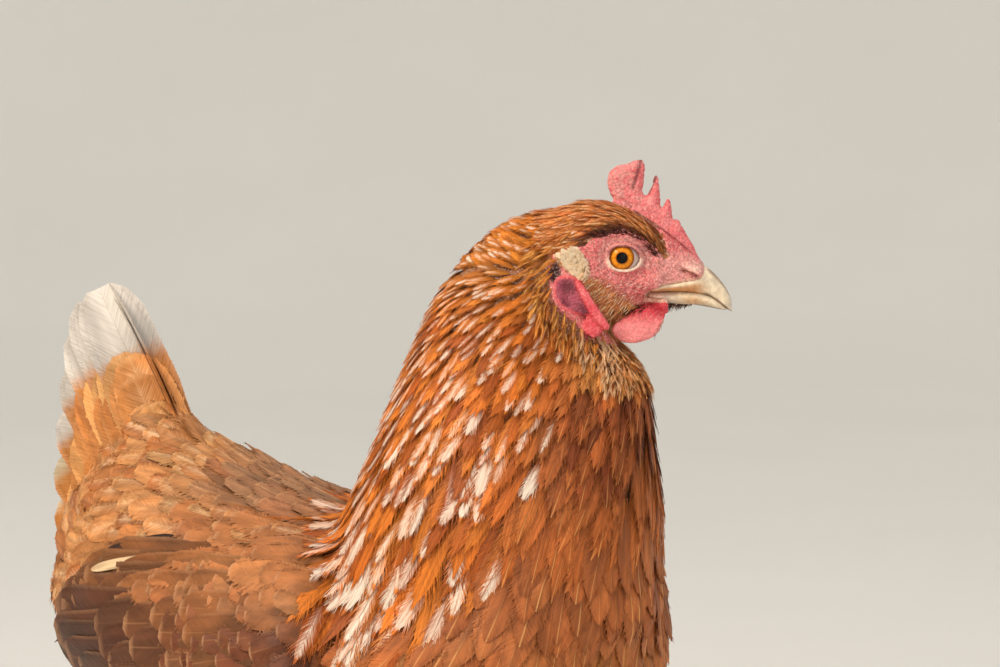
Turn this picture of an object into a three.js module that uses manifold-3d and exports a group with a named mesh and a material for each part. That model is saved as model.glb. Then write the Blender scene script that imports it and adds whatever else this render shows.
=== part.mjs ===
// A standing hen of a brown laying breed, life size, in millimetres, +Z up.
// The body faces +X and its left side is +Y. The head is turned to the hen's left.
// The feet stand on z = 0.
import * as THREE from "three";
import { mergeVertices } from "three/addons/utils/BufferGeometryUtils.js";
import Module from "manifold-3d";

const wasm = await Module();
wasm.setup();

// ---------------------------------------------------------------- driving sizes
const GAP = 0.35; // clearance between neighbours that touch
const EYE_HEIGHT = 340; // floor to the middle of the eye
const HEAD_TURN = 36; // degrees, to the hen's left
const HEAD_AT = new THREE.Vector3(82, 23.5, EYE_HEIGHT); // middle of the head, between the eyes
const HIP_SPREAD = 40; // half the distance between the legs

// Each row of the trunk: x, top, bottom, half width.
const TRUNK = [
  [-172, 215, 200, 0],
  [-163, 238, 172, 27],
  [-138, 256, 150, 45],
  [-104, 261, 133, 57],
  [-68, 249, 119, 67],
  [-30, 242, 110, 73],
  [8, 244, 105, 75],
  [42, 250, 108, 72],
  [70, 252, 126, 62],
  [91, 242, 154, 45],
  [102, 210, 198, 0],
];
// Each ring of the neck: x, y, z of its middle, turn to the left, tilt of the throat side below level
// (degrees), half depth from nape to throat, half width, and how much narrower the throat side is.
const NECK = [
  [38, 0, 172, 0, 0, 0, 0, 0],
  [36, 0, 196, 0, 0, 62, 58, 0],
  [39, 0, 222, 0, -2, 63, 63, 0],
  [44, 0, 246, 2, 0, 58.5, 59, 0],
  [48, 1, 268, 6, 2, 52.5, 53, 0.06],
  [51, 3, 290, 12, 6, 46.5, 46, 0.18],
  [54, 5, 309, 20, 16, 41, 36.5, 0.36],
  [60, 9, 324, 28, 34, 35, 26, 0.44],
  [66.5, 13, 333, 33, 56, 28.5, 19.5, 0.34],
  [71.5, 16.5, 336.5, 36, 74, 19, 13, 0.1],
  [75, 18.5, 338.5, 36, 80, 0, 0, 0],
];
// Each row of the head, from the nape forward: x, top, bottom, half width, about HEAD_AT.
const HEAD = [
  [-30, -2, -4, 0],
  [-27, 14, -19, 13],
  [-17, 20.5, -25, 17],
  [-6, 21, -26, 17],
  [4, 18, -23.5, 15.2],
  [12, 13, -19.5, 12.2],
  [20, 7.5, -16.5, 9.2],
  [27, 1.5, -15.2, 7.2],
  [31, -3, -14.8, 5],
  [32.5, -8, -11, 0],
];

// ---------------------------------------------------------------- shaping tools
const radians = (degrees) => (degrees * Math.PI) / 180;
const mix = THREE.MathUtils.lerp;

// Every column of a table at share t of the way down its rows, as one smooth curve.
function smoothRow(rows, t) {
  const at = Math.min(Math.max(t, 0), 1) * (rows.length - 1);
  const i = Math.min(Math.floor(at), rows.length - 2);
  const f = at - i;
  const [a, b, c, d] = [-1, 0, 1, 2].map((k) => rows[Math.min(Math.max(i + k, 0), rows.length - 1)]);
  return b.map((value, k) => {
    const into = (c[k] - a[k]) / 2;
    const out = (d[k] - value) / 2;
    const rise = c[k] - value;
    return value + f * (into + f * (3 * rise - 2 * into - out + f * (into + out - 2 * rise)));
  });
}

// The share of the way down the rows at which the first column reaches x.
function shareAt(rows, x) {
  let low = 0;
  let high = 1;
  for (let k = 0; k < 24; k++) {
    const middle = (low + high) / 2;
    if (smoothRow(rows, middle)[0] < x) low = middle;
    else high = middle;
  }
  return low;
}

// A closed skin: point(t, angle) gives its surface, from the pole at t = 0 to the pole at t = 1.
function skin(point, around, along) {
  const g = new THREE.SphereGeometry(1, around, along);
  for (let row = 0; row <= along; row++)
    for (let k = 0; k <= around; k++) {
      const p = point(row / along, ((k % around) / around) * 2 * Math.PI);
      g.attributes.position.setXYZ(row * (around + 1) + k, p.x, p.y, p.z);
    }
  return g;
}

// A geometry as a closed solid with its faces pointing out.
function solid(geometry) {
  const g = geometry.clone();
  g.deleteAttribute("normal");
  g.deleteAttribute("uv");
  const merged = mergeVertices(g, 1e-3);
  const p = merged.attributes.position;
  const index = [];
  let volume = 0;
  const [a, b, c] = [new THREE.Vector3(), new THREE.Vector3(), new THREE.Vector3()];
  for (let i = 0; i < merged.index.count; i += 3) {
    const t = [0, 1, 2].map((k) => merged.index.getX(i + k));
    if (t[0] === t[1] || t[1] === t[2] || t[0] === t[2]) continue;
    index.push(...t);
    a.fromBufferAttribute(p, t[0]);
    b.fromBufferAttribute(p, t[1]);
    c.fromBufferAttribute(p, t[2]);
    volume += a.dot(b.cross(c));
  }
  if (volume < 0) index.reverse();
  return new wasm.Manifold(
    new wasm.Mesh({
      numProp: 3,
      vertProperties: Float32Array.from(p.array),
      triVerts: Uint32Array.from(index),
    }),
  );
}

const join = (solids) => solids.reduce((all, s) => all.add(s));
const cut = (from, ...cutters) => cutters.reduce((left, c) => left.subtract(c), from);
const biggest = (s) => s.decompose().sort((a, b) => b.volume() - a.volume())[0];

const hen = new THREE.Group();

// Adds a finished solid to the hen as one named mesh.
function add(name, s, material) {
  const { vertProperties, triVerts } = biggest(s).getMesh();
  const g = new THREE.BufferGeometry();
  g.setAttribute("position", new THREE.BufferAttribute(vertProperties, 3));
  g.setIndex(new THREE.BufferAttribute(triVerts, 1));
  g.computeVertexNormals();
  const mesh = new THREE.Mesh(g, material);
  mesh.name = name;
  hen.add(mesh);
}

// A blade: each ring is a middle, a side direction, a face direction and a half width. With a rib the blade is
// thicker along its middle. Both faces are split alike, so a thin bent blade never crosses itself.
function blade(rings, edge, rib) {
  const section = rib
    ? [[-1, edge], [0, rib], [1, edge], [1, -edge], [0, -edge], [-1, -edge]]
    : [[-1, edge], [1, edge], [1, -edge], [-1, -edge]];
  const size = section.length;
  const half = size / 2;
  const points = [];
  for (const ring of rings)
    for (const [s, f] of section)
      points.push(ring.at.clone().addScaledVector(ring.side, s * ring.half).addScaledVector(ring.face, f));
  const index = [];
  for (let i = 0; i + 1 < rings.length; i++) {
    const [n, m] = [i * size, (i + 1) * size];
    for (let k = 0; k < size; k++) {
      const [a, b] = [n + k, n + ((k + 1) % size)];
      const [c, d] = [m + ((k + 1) % size), m + k];
      if (k < half) index.push(a, b, c, a, c, d);
      else index.push(a, b, d, b, c, d);
    }
  }
  const last = (rings.length - 1) * size;
  for (let k = 0; k + 1 < half; k++) {
    const [a, b, c, d] = [k, k + 1, size - 2 - k, size - 1 - k];
    index.push(a, c, b, a, d, c);
    index.push(last + a, last + b, last + c, last + a, last + c, last + d);
  }
  const g = new THREE.BufferGeometry();
  g.setAttribute("position", new THREE.Float32BufferAttribute(points.flatMap((p) => p.toArray()), 3));
  g.setIndex(index);
  return g;
}

// Half width of a feather as a share of its widest, at shares of its length.
const ROUND_VANE = [[0, 0.5], [0.5, 0.95], [0.84, 0.92], [1, 0.35]];
const SHORT_VANE = [[0, 0.6], [0.7, 1], [1, 0.42]];
const POINTED_LOCK = [[0, 0.6], [0.5, 1], [1, 0.12]];

// A feather laid along a surface: surface(u, v, lift) gives points, and the feather runs from one (u, v) to another.
// Roll, in degrees, raises one edge and sinks the other, so that neighbours overlap like tiles.
function feather(surface, { from, to, lift, width, roll = 0, outline = ROUND_VANE, edge = 0.3, rib = 0 }) {
  const step = 0.02;
  const on = (t, h) => surface(mix(from[0], to[0], t), mix(from[1], to[1], t), h);
  const rings = outline.map(([t, share]) => {
    const h = mix(lift[0], lift[1], t);
    const at = on(t, h);
    const along = on(t + step, h).sub(on(t - step, h)).normalize();
    const out = on(t, h + 1).sub(at).normalize();
    const side = along.clone().cross(out).normalize().applyAxisAngle(along, radians(roll));
    return { at, side, face: side.clone().cross(along), half: (width / 2) * share };
  });
  return solid(blade(rings, edge, rib));
}

// ---------------------------------------------------------------- finishes
const finish = (color, roughness) => new THREE.MeshStandardMaterial({ color, roughness, metalness: 0 });
const plumage = finish(0xa9602c, 0.8);
const hackle = finish(0xb8692f, 0.75);
const tailFeather = finish(0xd9b58c, 0.8);
const redSkin = finish(0xd9575a, 0.55);
const horn = finish(0xd9bd92, 0.4);
const iris = finish(0xd9822a, 0.1);
const legScale = finish(0xd8b25e, 0.55);
const earFeather = finish(0xd8b98f, 0.85);

// ---------------------------------------------------------------- trunk
// One closed egg-shaped body: breast in front, rump behind, belly between the legs.
function trunkPoint(rows, t, angle, grow = 0) {
  const [x, top, bottom, half] = smoothRow(rows, t);
  const middle = (top + bottom) / 2;
  const tall = half > 0.5 ? (top - bottom) / 2 + grow : 0;
  const wide = half > 0.5 ? half + grow : 0;
  const ends = grow * (2 * t - 1);
  return new THREE.Vector3(x + ends, Math.sin(angle) * wide, middle + Math.cos(angle) * tall);
}
const trunkSkin = (grow) => solid(skin((t, a) => trunkPoint(TRUNK, t, a, grow), 24, 16));
const trunk = trunkSkin(0);
const trunkCutter = trunkSkin(GAP);
add("torso", trunk, plumage);

// ---------------------------------------------------------------- neck
// Rises from the shoulders and bends forward and left into the head.
function neckPoint(t, angle, grow = 0) {
  const [x, y, z, turn, tilt, deep, wide, narrow] = smoothRow(NECK, t);
  const [yaw, pitch] = [radians(turn), radians(tilt)];
  const throat = new THREE.Vector3(Math.cos(yaw) * Math.cos(pitch), Math.sin(yaw) * Math.cos(pitch), -Math.sin(pitch));
  const left = new THREE.Vector3(-Math.sin(yaw), Math.cos(yaw), 0);
  const closed = t === 0 || t === 1;
  const width = wide * (1 - narrow * Math.max(0, Math.cos(angle)));
  return new THREE.Vector3(x, y, z)
    .addScaledVector(throat, closed ? 0 : Math.cos(angle) * (deep + grow))
    .addScaledVector(left, closed ? 0 : Math.sin(angle) * (width + grow));
}
const neckSkin = (grow) => solid(skin((t, a) => neckPoint(t, a, grow), 18, 12));
const HACKLE_DEPTH = 2.4; // how far the tips of the lowest locks stand off the neck
const neckCutter = neckSkin(GAP);
const hackleCutter = neckSkin(HACKLE_DEPTH + GAP + 1.6);

// ---------------------------------------------------------------- head
// Skull, cheeks and the bare red face. Points of the head are given about HEAD_AT, facing along +X, then turned.
const headTurn = new THREE.Matrix4()
  .makeRotationZ(radians(HEAD_TURN))
  .setPosition(HEAD_AT);
const onHead = (geometry) => solid(geometry.clone().applyMatrix4(headTurn));
const headRow = (rows, around, along, grow = 0) =>
  skin((t, a) => trunkPoint(rows, t, a, grow), around, along);

const EYE_RADIUS = 7.4;
const EYE_SIDE = 8.6; // from the middle of the head to the middle of the eyeball
const LID_RADIUS = EYE_RADIUS + 1.4;
const eyeball = (side, radius, detail) =>
  onHead(new THREE.SphereGeometry(radius, detail, detail / 2).rotateX(Math.PI / 2).translate(0, side * EYE_SIDE, 0));

// The gap between the lids, an almond a little lower at its front corner.
function lidOpening(side) {
  const shape = new THREE.Shape();
  shape.moveTo(-5.6, -0.6);
  shape.quadraticCurveTo(-2.4, 5.2, 2.4, 4.2);
  shape.quadraticCurveTo(5.6, 2.4, 7.1, -1.4);
  shape.quadraticCurveTo(2.2, -6.8, -2.6, -4.6);
  shape.quadraticCurveTo(-4.8, -3.4, -5.6, -0.6);
  const depth = 14;
  const prism = new THREE.ExtrudeGeometry(shape, { depth, bevelEnabled: false, curveSegments: 3 });
  prism.rotateX(Math.PI / 2);
  return onHead(prism.translate(0, side * EYE_SIDE + (side > 0 ? depth : 0), 0));
}

// Upper and lower halves of the bill, from the corner of the mouth forward: x, top, bottom, half width.
const UPPER_BILL = [
  [11, -11.4, -12.2, 0],
  [15, -10, -12.7, 6.6],
  [21, -6.6, -13, 6.9],
  [27, -3.9, -13.2, 6.4],
  [31.5, -4.3, -13.8, 5.4],
  [36, -8, -15.2, 4],
  [39.5, -12.4, -17.4, 2.4],
  [41.6, -17, -20.4, 0.9],
  [41.8, -19.4, -20.4, 0],
];
const LOWER_BILL = [
  [9, -14, -15.4, 0],
  [13, -13.2, -17.8, 6],
  [20, -13.4, -18, 5.6],
  [27, -13.6, -18.2, 4.9],
  [32.5, -14.4, -19.2, 3.9],
  [36.5, -16.2, -20, 2.7],
  [39.4, -19.2, -20.2, 0],
];
const upperBill = onHead(headRow(UPPER_BILL, 12, 11));
const upperBillCutter = onHead(headRow(UPPER_BILL, 12, 11, GAP));
const lowerBill = cut(onHead(headRow(LOWER_BILL, 12, 8)), upperBillCutter);
const lowerBillCutter = onHead(headRow(LOWER_BILL, 12, 8, GAP));

// A nostril: a slit under a raised flap, on the soft skin behind the horn.
const NOSTRIL = new THREE.Vector3(25.6, 6.6, -6.6);
const nostrilPart = (side, size, dip, out) =>
  onHead(
    new THREE.SphereGeometry(1, 8, 5)
      .scale(...size)
      .rotateY(radians(22))
      .translate(NOSTRIL.x, side * (NOSTRIL.y + out), NOSTRIL.z + dip),
  );

const SIDES = [["right", -1], ["left", 1]];
const headCutter = onHead(headRow(HEAD, 18, 12, GAP));
const skull = onHead(headRow(HEAD, 18, 12));

// The hackle: tiers of flat tapered locks, each from its root down to its tip.
const HACKLE_TIERS = [
  // locks, root and tip as shares of the way up the neck, width, lift at the tip
  [8, 0.72, 0.52, 21, 1.6],
  [9, 0.56, 0.37, 28, 2],
  [11, 0.42, 0.22, 31, HACKLE_DEPTH],
];
const neckSurface = (t, degrees, lift) => neckPoint(t, radians(degrees), lift);
const locks = HACKLE_TIERS.flatMap(([count, root, tip, width, lift], tier) =>
  Array.from({ length: count }, (_, k) => {
    const at = ((k + (tier % 2) / 2) * 360) / count;
    return feather(neckSurface, {
      from: [root, at], to: [tip, at], lift: [-1.2, lift], width, roll: 4, outline: POINTED_LOCK, edge: 0.4,
    });
  }),
);
const lids = SIDES.map(([, side]) => eyeball(side, LID_RADIUS, 12));
const flaps = SIDES.map(([, side]) => nostrilPart(side, [3.6, 1.5, 2.1], 0.9, 0.2));
const slits = SIDES.map(([, side]) => nostrilPart(side, [3.2, 1.6, 0.75], -0.9, 1.3));
const openings = SIDES.map(([, side]) => lidOpening(side));
const sockets = SIDES.map(([, side]) => eyeball(side, EYE_RADIUS + GAP, 12));
const faceFlesh = join([skull, ...lids, ...flaps]);
const head = cut(faceFlesh, ...slits, ...openings, ...sockets, upperBillCutter, lowerBillCutter);

add("beak_upper", upperBill, horn);
add("beak_lower", lowerBill, horn);
for (const [name, side] of SIDES) add("eye_" + name, eyeball(side, EYE_RADIUS, 12), iris);

// ---------------------------------------------------------------- comb
// A low single comb: a fleshy blade with a broad back lobe and three points before it.
const COMB_THICK = 3.4;
const COMB_BEVEL = 0.9;
const COMB_OUTLINE = [
  [-1.6, 19], [-4.4, 24.6], [-4.9, 28.6], [-3.9, 31.6], [-1.2, 33.6], [2, 34.2], [5, 35.4], [7.8, 35.8],
  [8.8, 33], [8.6, 28], [8.1, 23.6], [9.8, 22.4], [11.8, 26], [12.6, 29.8], [13.8, 29], [14.6, 24], [14.8, 18.4],
  [16.2, 18.2], [17.2, 21.2], [18.4, 20.4], [19.2, 15.6], [19.6, 12.8], [21.4, 13.4], [23.6, 9.6], [26.6, 4.6],
  [28.6, 0.4], [27.6, -1.6], [20, 3], [12, 9], [4, 14],
];
const combShape = new THREE.Shape(COMB_OUTLINE.map(([x, z]) => new THREE.Vector2(x, z)));
const combBlade = new THREE.ExtrudeGeometry(combShape, {
  depth: COMB_THICK - 2 * COMB_BEVEL,
  bevelThickness: COMB_BEVEL,
  bevelSize: 0.5,
  bevelSegments: 1,
});
combBlade.translate(0, 0, -COMB_THICK / 2 + COMB_BEVEL).rotateX(Math.PI / 2);
const LEAN_FROM = 20; // the comb's upper part leans gently to the right
const combAt = combBlade.attributes.position;
for (let i = 0; i < combAt.count; i++) {
  const above = Math.max(0, combAt.getZ(i) - LEAN_FROM);
  combAt.setY(i, combAt.getY(i) - 0.012 * above * above);
}
const comb = cut(onHead(combBlade), headCutter, neckCutter, upperBillCutter);
add("comb", comb, redSkin);

// ---------------------------------------------------------------- wattles and earlobes
// A fleshy flap: a rounded outline in the plane of the cheek, thick in the middle and thin at the rim.
function flap(outline, side, { at, thick, splay, hollow = 0, folds = 0 }) {
  const curve = new THREE.CatmullRomCurve3(outline.map(([x, z]) => new THREE.Vector3(x, 0, z)), true);
  const middle = outline
    .reduce((sum, [x, z]) => sum.add(new THREE.Vector3(x, 0, z)), new THREE.Vector3())
    .divideScalar(outline.length);
  const surface = (t, angle) => {
    const rim = curve.getPoint(angle / (2 * Math.PI));
    const reach = Math.sin(t * Math.PI);
    const p = middle.clone().lerp(rim, reach);
    const face = Math.cos(t * Math.PI);
    const dish = face > 0 ? hollow * (1 - reach ** 4) : 0;
    const fold = folds * Math.sin(angle * 5) * reach ** 2;
    p.y = Math.sign(face) * Math.abs(face) ** 0.6 * (thick / 2) - dish + fold;
    return new THREE.Vector3(p.x, side * (at + p.y + splay * (middle.z - p.z)), p.z);
  };
  return onHead(skin(surface, 13, 6));
}
// A cutter round a flap: the same outline spread from its middle, and thicker.
function flapCutter(outline, side, form) {
  const [x0, z0] = [0, 1].map((k) => outline.reduce((sum, p) => sum + p[k], 0) / outline.length);
  const spread = outline.map(([x, z]) => {
    const reach = Math.hypot(x - x0, z - z0);
    return [x0 + ((x - x0) * (reach + 2 * GAP)) / reach, z0 + ((z - z0) * (reach + 2 * GAP)) / reach];
  });
  return flap(spread, side, { ...form, thick: form.thick + 3 * GAP + (form.folds ?? 0), hollow: 0 });
}
const WATTLE = [
  [16.4, -15.4], [17.6, -20], [16.2, -25], [11.6, -30], [4.6, -32.2], [-1.4, -30.6], [-3.4, -26.4], [2.6, -21.6],
  [9.6, -17.6],
];
const EARLOBE = [
  [-22.4, -7.4], [-24.2, -11.6], [-21.8, -17], [-16.6, -21.6], [-12.6, -26.6], [-9.4, -28.6], [-6.6, -26],
  [-10.6, -21], [-14.4, -14.6], [-17.6, -9.2],
];
const WATTLE_FORM = { at: 9.6, thick: 4.4, splay: 0.1, folds: 0.55 };
const lobeForm = (side) => ({ at: side > 0 ? 20.6 : 19.4, thick: 5, splay: 0.06, hollow: 1.1 });
// A tuft of short pale feathers covers the ear opening.
const EAR_TUFT = [
  [-25.6, 1.6], [-21, 3], [-17.4, 2.6], [-14, -1.2], [-12.4, -7.8], [-15.6, -8], [-20, -5], [-24, -1.6],
];
const TUFT_FORM = { at: 18.6, thick: 4.4, splay: 0.02 };
const neckClearing = [];
for (const [name, side] of SIDES) {
  const others = [headCutter, neckCutter, upperBillCutter, lowerBillCutter];
  const lobe = flap(EARLOBE, side, lobeForm(side));
  const lobeCutter = flapCutter(EARLOBE, side, lobeForm(side));
  add("wattle_" + name, cut(flap(WATTLE, side, WATTLE_FORM), ...others), redSkin);
  add("earlobe_" + name, cut(lobe, ...others), redSkin);
  add("ear_tuft_" + name, cut(flap(EAR_TUFT, side, TUFT_FORM), ...others, lobeCutter), earFeather);
  neckClearing.push(lobeCutter, flapCutter(EAR_TUFT, side, TUFT_FORM), flapCutter(WATTLE, side, WATTLE_FORM));
}
add("neck", cut(join([neckSkin(0), ...locks]), trunkCutter, headCutter, ...neckClearing), hackle);
add("head", head, redSkin);

// ---------------------------------------------------------------- wings
// A folded wing lies on a hull that follows the flank and runs on past the rump.
const WING_HULL = [
  [-196, 222, 168, 30],
  [-160, 238, 158, 46],
  [-120, 252, 138, 62],
  [-80, 252, 122, 73],
  [-30, 247, 110, 79],
  [10, 249, 105, 81],
  [40, 254, 108, 78],
  [70, 256, 124, 68],
];
const WING_ROWS = [
  // x, middle angle from the spine (degrees), half spread (degrees), half thickness
  [-154, 116, 0, 0],
  [-142, 113, 9, 2],
  [-114, 104, 19, 4],
  [-80, 92, 28, 6],
  [-44, 81, 37, 8],
  [-12, 75, 40, 8],
  [6, 76, 34, 7],
  [17, 79, 0, 0],
];
function hullPoint(side, x, degrees, lift) {
  const [, top, bottom, half] = smoothRow(WING_HULL, shareAt(WING_HULL, x));
  const a = radians(degrees);
  const [tall, wide] = [(top - bottom) / 2 + lift, half + lift];
  return new THREE.Vector3(x, side * Math.sin(a) * wide, (top + bottom) / 2 + Math.cos(a) * tall);
}
// How far the flesh and under-feathers of the wing swell out of the hull.
function wingSwell(x, degrees) {
  const [, middle, spread, thick] = smoothRow(WING_ROWS, shareAt(WING_ROWS, x));
  const off = Math.min(1, Math.abs(degrees - middle) / Math.max(spread, 1));
  return thick * Math.sqrt(1 - off * off) - 1;
}
const wingSurface = (side) => (x, degrees, lift) => hullPoint(side, x, degrees, wingSwell(x, degrees) + lift);
function wingCore(side) {
  const surface = (t, angle) => {
    const [x, middle, spread, thick] = smoothRow(WING_ROWS, t);
    const end = t === 0 || t === 1;
    const lift = end ? 0 : Math.sin(angle) * Math.max(thick, 0.4) * (Math.sin(angle) < 0 ? 2.2 : 1) - 1;
    return hullPoint(side, x, middle + (end ? 0 : Math.cos(angle) * spread), lift);
  };
  return solid(skin(surface, 12, 9));
}
// Tiers of the folded wing: feathers, first and last root, first and last tip (x, degrees from the spine),
// width, and lift at root and tip.
const WING_TIERS = [
  { count: 3, roots: [[-92, 108], [-76, 116]], tips: [[-154, 115], [-136, 127]], width: 17, lift: [-3, -0.4] },
  { count: 6, roots: [[-52, 74], [-14, 110]], tips: [[-142, 103], [-74, 128]], width: 27, lift: [-2.5, 0.7] },
  { count: 5, roots: [[-28, 62], [-6, 106]], tips: [[-98, 78], [-44, 122]], width: 27, lift: [-2, 1.5] },
  { count: 4, roots: [[-8, 54], [8, 100]], tips: [[-60, 60], [-22, 114]], width: 30, lift: [-2, 2.1] },
  { count: 3, roots: [[10, 60], [12, 94]], tips: [[-28, 54], [-6, 104]], width: 31, lift: [-2, 2.2] },
];
const pairMix = (a, b, t) => [mix(a[0], b[0], t), mix(a[1], b[1], t)];
function wingFeathers(side) {
  return WING_TIERS.flatMap(({ count, roots, tips, width, lift }) =>
    Array.from({ length: count }, (_, k) => {
      const t = k / (count - 1);
      const [from, to] = [pairMix(...roots, t), pairMix(...tips, t)];
      return feather(wingSurface(side), { from, to, lift, width, roll: -side * 6, outline: SHORT_VANE });
    }),
  );
}
SIDES.forEach(([name, side]) =>
  add("wing_" + name, cut(join([wingCore(side), ...wingFeathers(side)]), trunkCutter, hackleCutter), plumage),
);

// ---------------------------------------------------------------- tail
// Held up and folded like a roof: a core of coverts, and seven vanes a side that fan from its ridge to the rump.
const TAIL_ROWS = [
  // x and z of the middle, half depth, half width
  [-108, 210, 0, 0],
  [-119, 226, 39, 26],
  [-136, 240, 39, 21],
  [-148, 254, 33, 15],
  [-155, 267, 21, 8],
  [-158, 274, 0, 0],
];
const TAIL_RISE = radians(52);
const tailCore = solid(
  skin((t, angle) => {
    const [x, z, deep, wide] = smoothRow(TAIL_ROWS, t);
    const end = t === 0 || t === 1;
    const d = end ? 0 : Math.cos(angle) * deep;
    const w = end ? 0 : Math.sin(angle) * wide;
    return new THREE.Vector3(x + d * Math.sin(TAIL_RISE), w, z + d * Math.cos(TAIL_RISE));
  }, 12, 7),
);
// A straight tail feather from root to tip, its outer face leaning up by so many degrees.
function tailVane({ root, tip, lean, width, outline }) {
  const [from, to] = [new THREE.Vector3(...root), new THREE.Vector3(...tip)];
  const away = Math.sign(to.y) || 1;
  const surface = (t, _, lift) => {
    const out = new THREE.Vector3(0, away * Math.cos(radians(lean)), Math.sin(radians(lean)));
    return from.clone().lerp(to, t).addScaledVector(out, lift + 2.5 * Math.sin(Math.PI * t));
  };
  return feather(surface, { from: [0, 0], to: [1, 0], lift: [0, 0], width, outline });
}
// Tips of the vanes, from the ridge to the outermost: x, distance from the middle, z.
const TAIL_TIPS = [
  [-158, 3, 319], [-162, 5.5, 315], [-163, 8, 304], [-164, 10.5, 289], [-165, 13, 271], [-165, 15.5, 253],
  [-164, 18, 236],
];
const tailVanes = SIDES.flatMap(([, side]) =>
  TAIL_TIPS.map(([x, y, z], k) =>
    tailVane({
      root: [-104 - 3 * k, side * (3 + 1.4 * k), 232 - 5 * k],
      tip: [x, side * y, z],
      lean: 52 - 6 * k,
      width: 31,
    }),
  ),
);
// Shorter feathers lie over the roots of the vanes.
const tailCoverts = SIDES.flatMap(([, side]) =>
  TAIL_TIPS.slice(0, 4).map(([x, y, z], k) =>
    tailVane({
      root: [-96 - 6 * k, side * (8 + 3 * k), 246 - 7 * k],
      tip: [mix(-100, x, 0.66) - 1, side * (y + 9), mix(238 - 7 * k, z, 0.66)],
      lean: 48 - 6 * k,
      width: 33,
      outline: SHORT_VANE,
    }),
  ),
);
add("tail", cut(join([tailCore, ...tailVanes, ...tailCoverts]), trunkCutter), tailFeather);

// ---------------------------------------------------------------- legs
// A round limb along a path. Each row: x, y, z, half depth, half width.
function limb(rows, side, around, along, grow = 0) {
  return solid(
    skin((t, angle) => {
      const [x, y, z, deep, wide] = smoothRow(rows, t);
      const end = t === 0 || t === 1;
      const d = end ? 0 : Math.cos(angle) * (deep + grow);
      const w = end ? 0 : Math.sin(angle) * (wide + grow);
      return new THREE.Vector3(x + d, side * (y + w), z);
    }, around, along),
  );
}
// Raised plates along a limb: two rings a plate, the second standing out and close above the next plate's first.
const SCUTE_RISE = 0.6;
function plated(t, plates) {
  const row = Math.round(t * plates * 2);
  const foot = row % 2 === 1;
  return { t: (Math.floor(row / 2) + (foot ? 0.86 : 0)) / plates, rise: foot ? SCUTE_RISE : 0 };
}
const SHANK_PLATES = 12;
function platedShank(side, grow = 0) {
  const front = (angle) => Math.max(0, Math.cos(angle)) ** 0.5;
  return solid(
    skin((share, angle) => {
      const { t, rise } = plated(share, SHANK_PLATES);
      const [x, y, z, deep, wide] = smoothRow(SHANK, t);
      const end = t === 0 || t === 1;
      const more = rise * front(angle) + grow;
      const d = end ? 0 : Math.cos(angle) * (deep + more);
      const w = end ? 0 : Math.sin(angle) * (wide + more);
      return new THREE.Vector3(x + d, side * (y + w), z);
    }, 10, SHANK_PLATES * 2),
  );
}
const THIGH = [
  [-6, 38, 168, 0, 0],
  [-6, 38, 158, 34, 22],
  [-8, 39, 138, 36, 25],
  [-13, 40, 117, 27, 20],
  [-20, 40, 101, 14, 12],
  [-25, 40, 91, 7.4, 6.8],
  [-25.5, 40, 88, 0, 0],
];
const SHANK = [
  [-25.5, 40, 98, 0, 0],
  [-25.5, 40, 95, 6, 5.6],
  [-25, 40, 88, 7.6, 6.4],
  [-21, 40, 76, 5.8, 5.2],
  [-15, 40, 54, 5.2, 4.9],
  [-9, 40, 32, 5.4, 5.1],
  [-4.5, 40, 17, 6.8, 6.4],
  [-3, 40, 8, 7.6, 7.6],
  [-3, 40, 3, 0, 0],
];
const floorCutter = solid(new THREE.BoxGeometry(600, 600, 60).translate(0, 0, -30));
for (const [name, side] of SIDES) {
  const shankCutter = platedShank(side, GAP);
  add("thigh_" + name, cut(limb(THIGH, side, 12, 8), trunkCutter, shankCutter), plumage);
  add("shank_" + name, cut(platedShank(side), floorCutter), legScale);
}

// Toes: name, turn from straight ahead (degrees, outward positive), length, thickness at the root.
const TOES = [
  ["inner", -34, 42, 5],
  ["middle", 2, 60, 5.4],
  ["outer", 36, 46, 4.8],
  ["hind", 168, 19, 4.2],
];
const CLAW_LENGTH = 13;
const TOE_PLATE = 8; // length of one plate
function toeRows(length, thick) {
  return [
    [-2, thick, 0],
    [0, thick, thick * 0.9],
    [length * 0.22, thick * 0.92, thick],
    [length * 0.45, thick * 0.8, thick * 0.82],
    [length * 0.68, thick * 0.76, thick * 0.84],
    [length * 0.88, thick * 0.66, thick * 0.72],
    [length, thick * 0.62, thick * 0.5],
    [length + 1, thick * 0.62, 0],
  ];
}
const clawRows = (length, thick) => [
  [length - 3, thick * 0.7, 0],
  [length - 1, thick * 0.72, 2.1],
  [length + CLAW_LENGTH * 0.4, thick * 0.7, 1.7],
  [length + CLAW_LENGTH * 0.75, 2.4, 1],
  [length + CLAW_LENGTH, 0.9, 0],
];
const footRoot = (side) => new THREE.Vector3(-3, side * HIP_SPREAD, 0);
function along(rows, side, turn, sides, steps, grow = 0, plates = 0) {
  const yaw = radians(side * turn);
  const ahead = new THREE.Vector3(Math.cos(yaw), Math.sin(yaw), 0);
  const across = new THREE.Vector3(-Math.sin(yaw), Math.cos(yaw), 0);
  return solid(
    skin((share, around) => {
      const angle = around + Math.PI / 2; // one corner of the section points down
      const { t, rise } = plates ? plated(share, plates) : { t: share, rise: 0 };
      const [reach, z, thick] = smoothRow(rows, t);
      const r = t === 0 || t === 1 ? 0 : thick + grow + rise * Math.max(0, Math.sin(angle));
      return footRoot(side)
        .addScaledVector(ahead, 5 + reach)
        .addScaledVector(across, Math.cos(angle) * r)
        .add(new THREE.Vector3(0, 0, z + Math.sin(angle) * r));
    }, sides, steps),
  );
}
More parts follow.
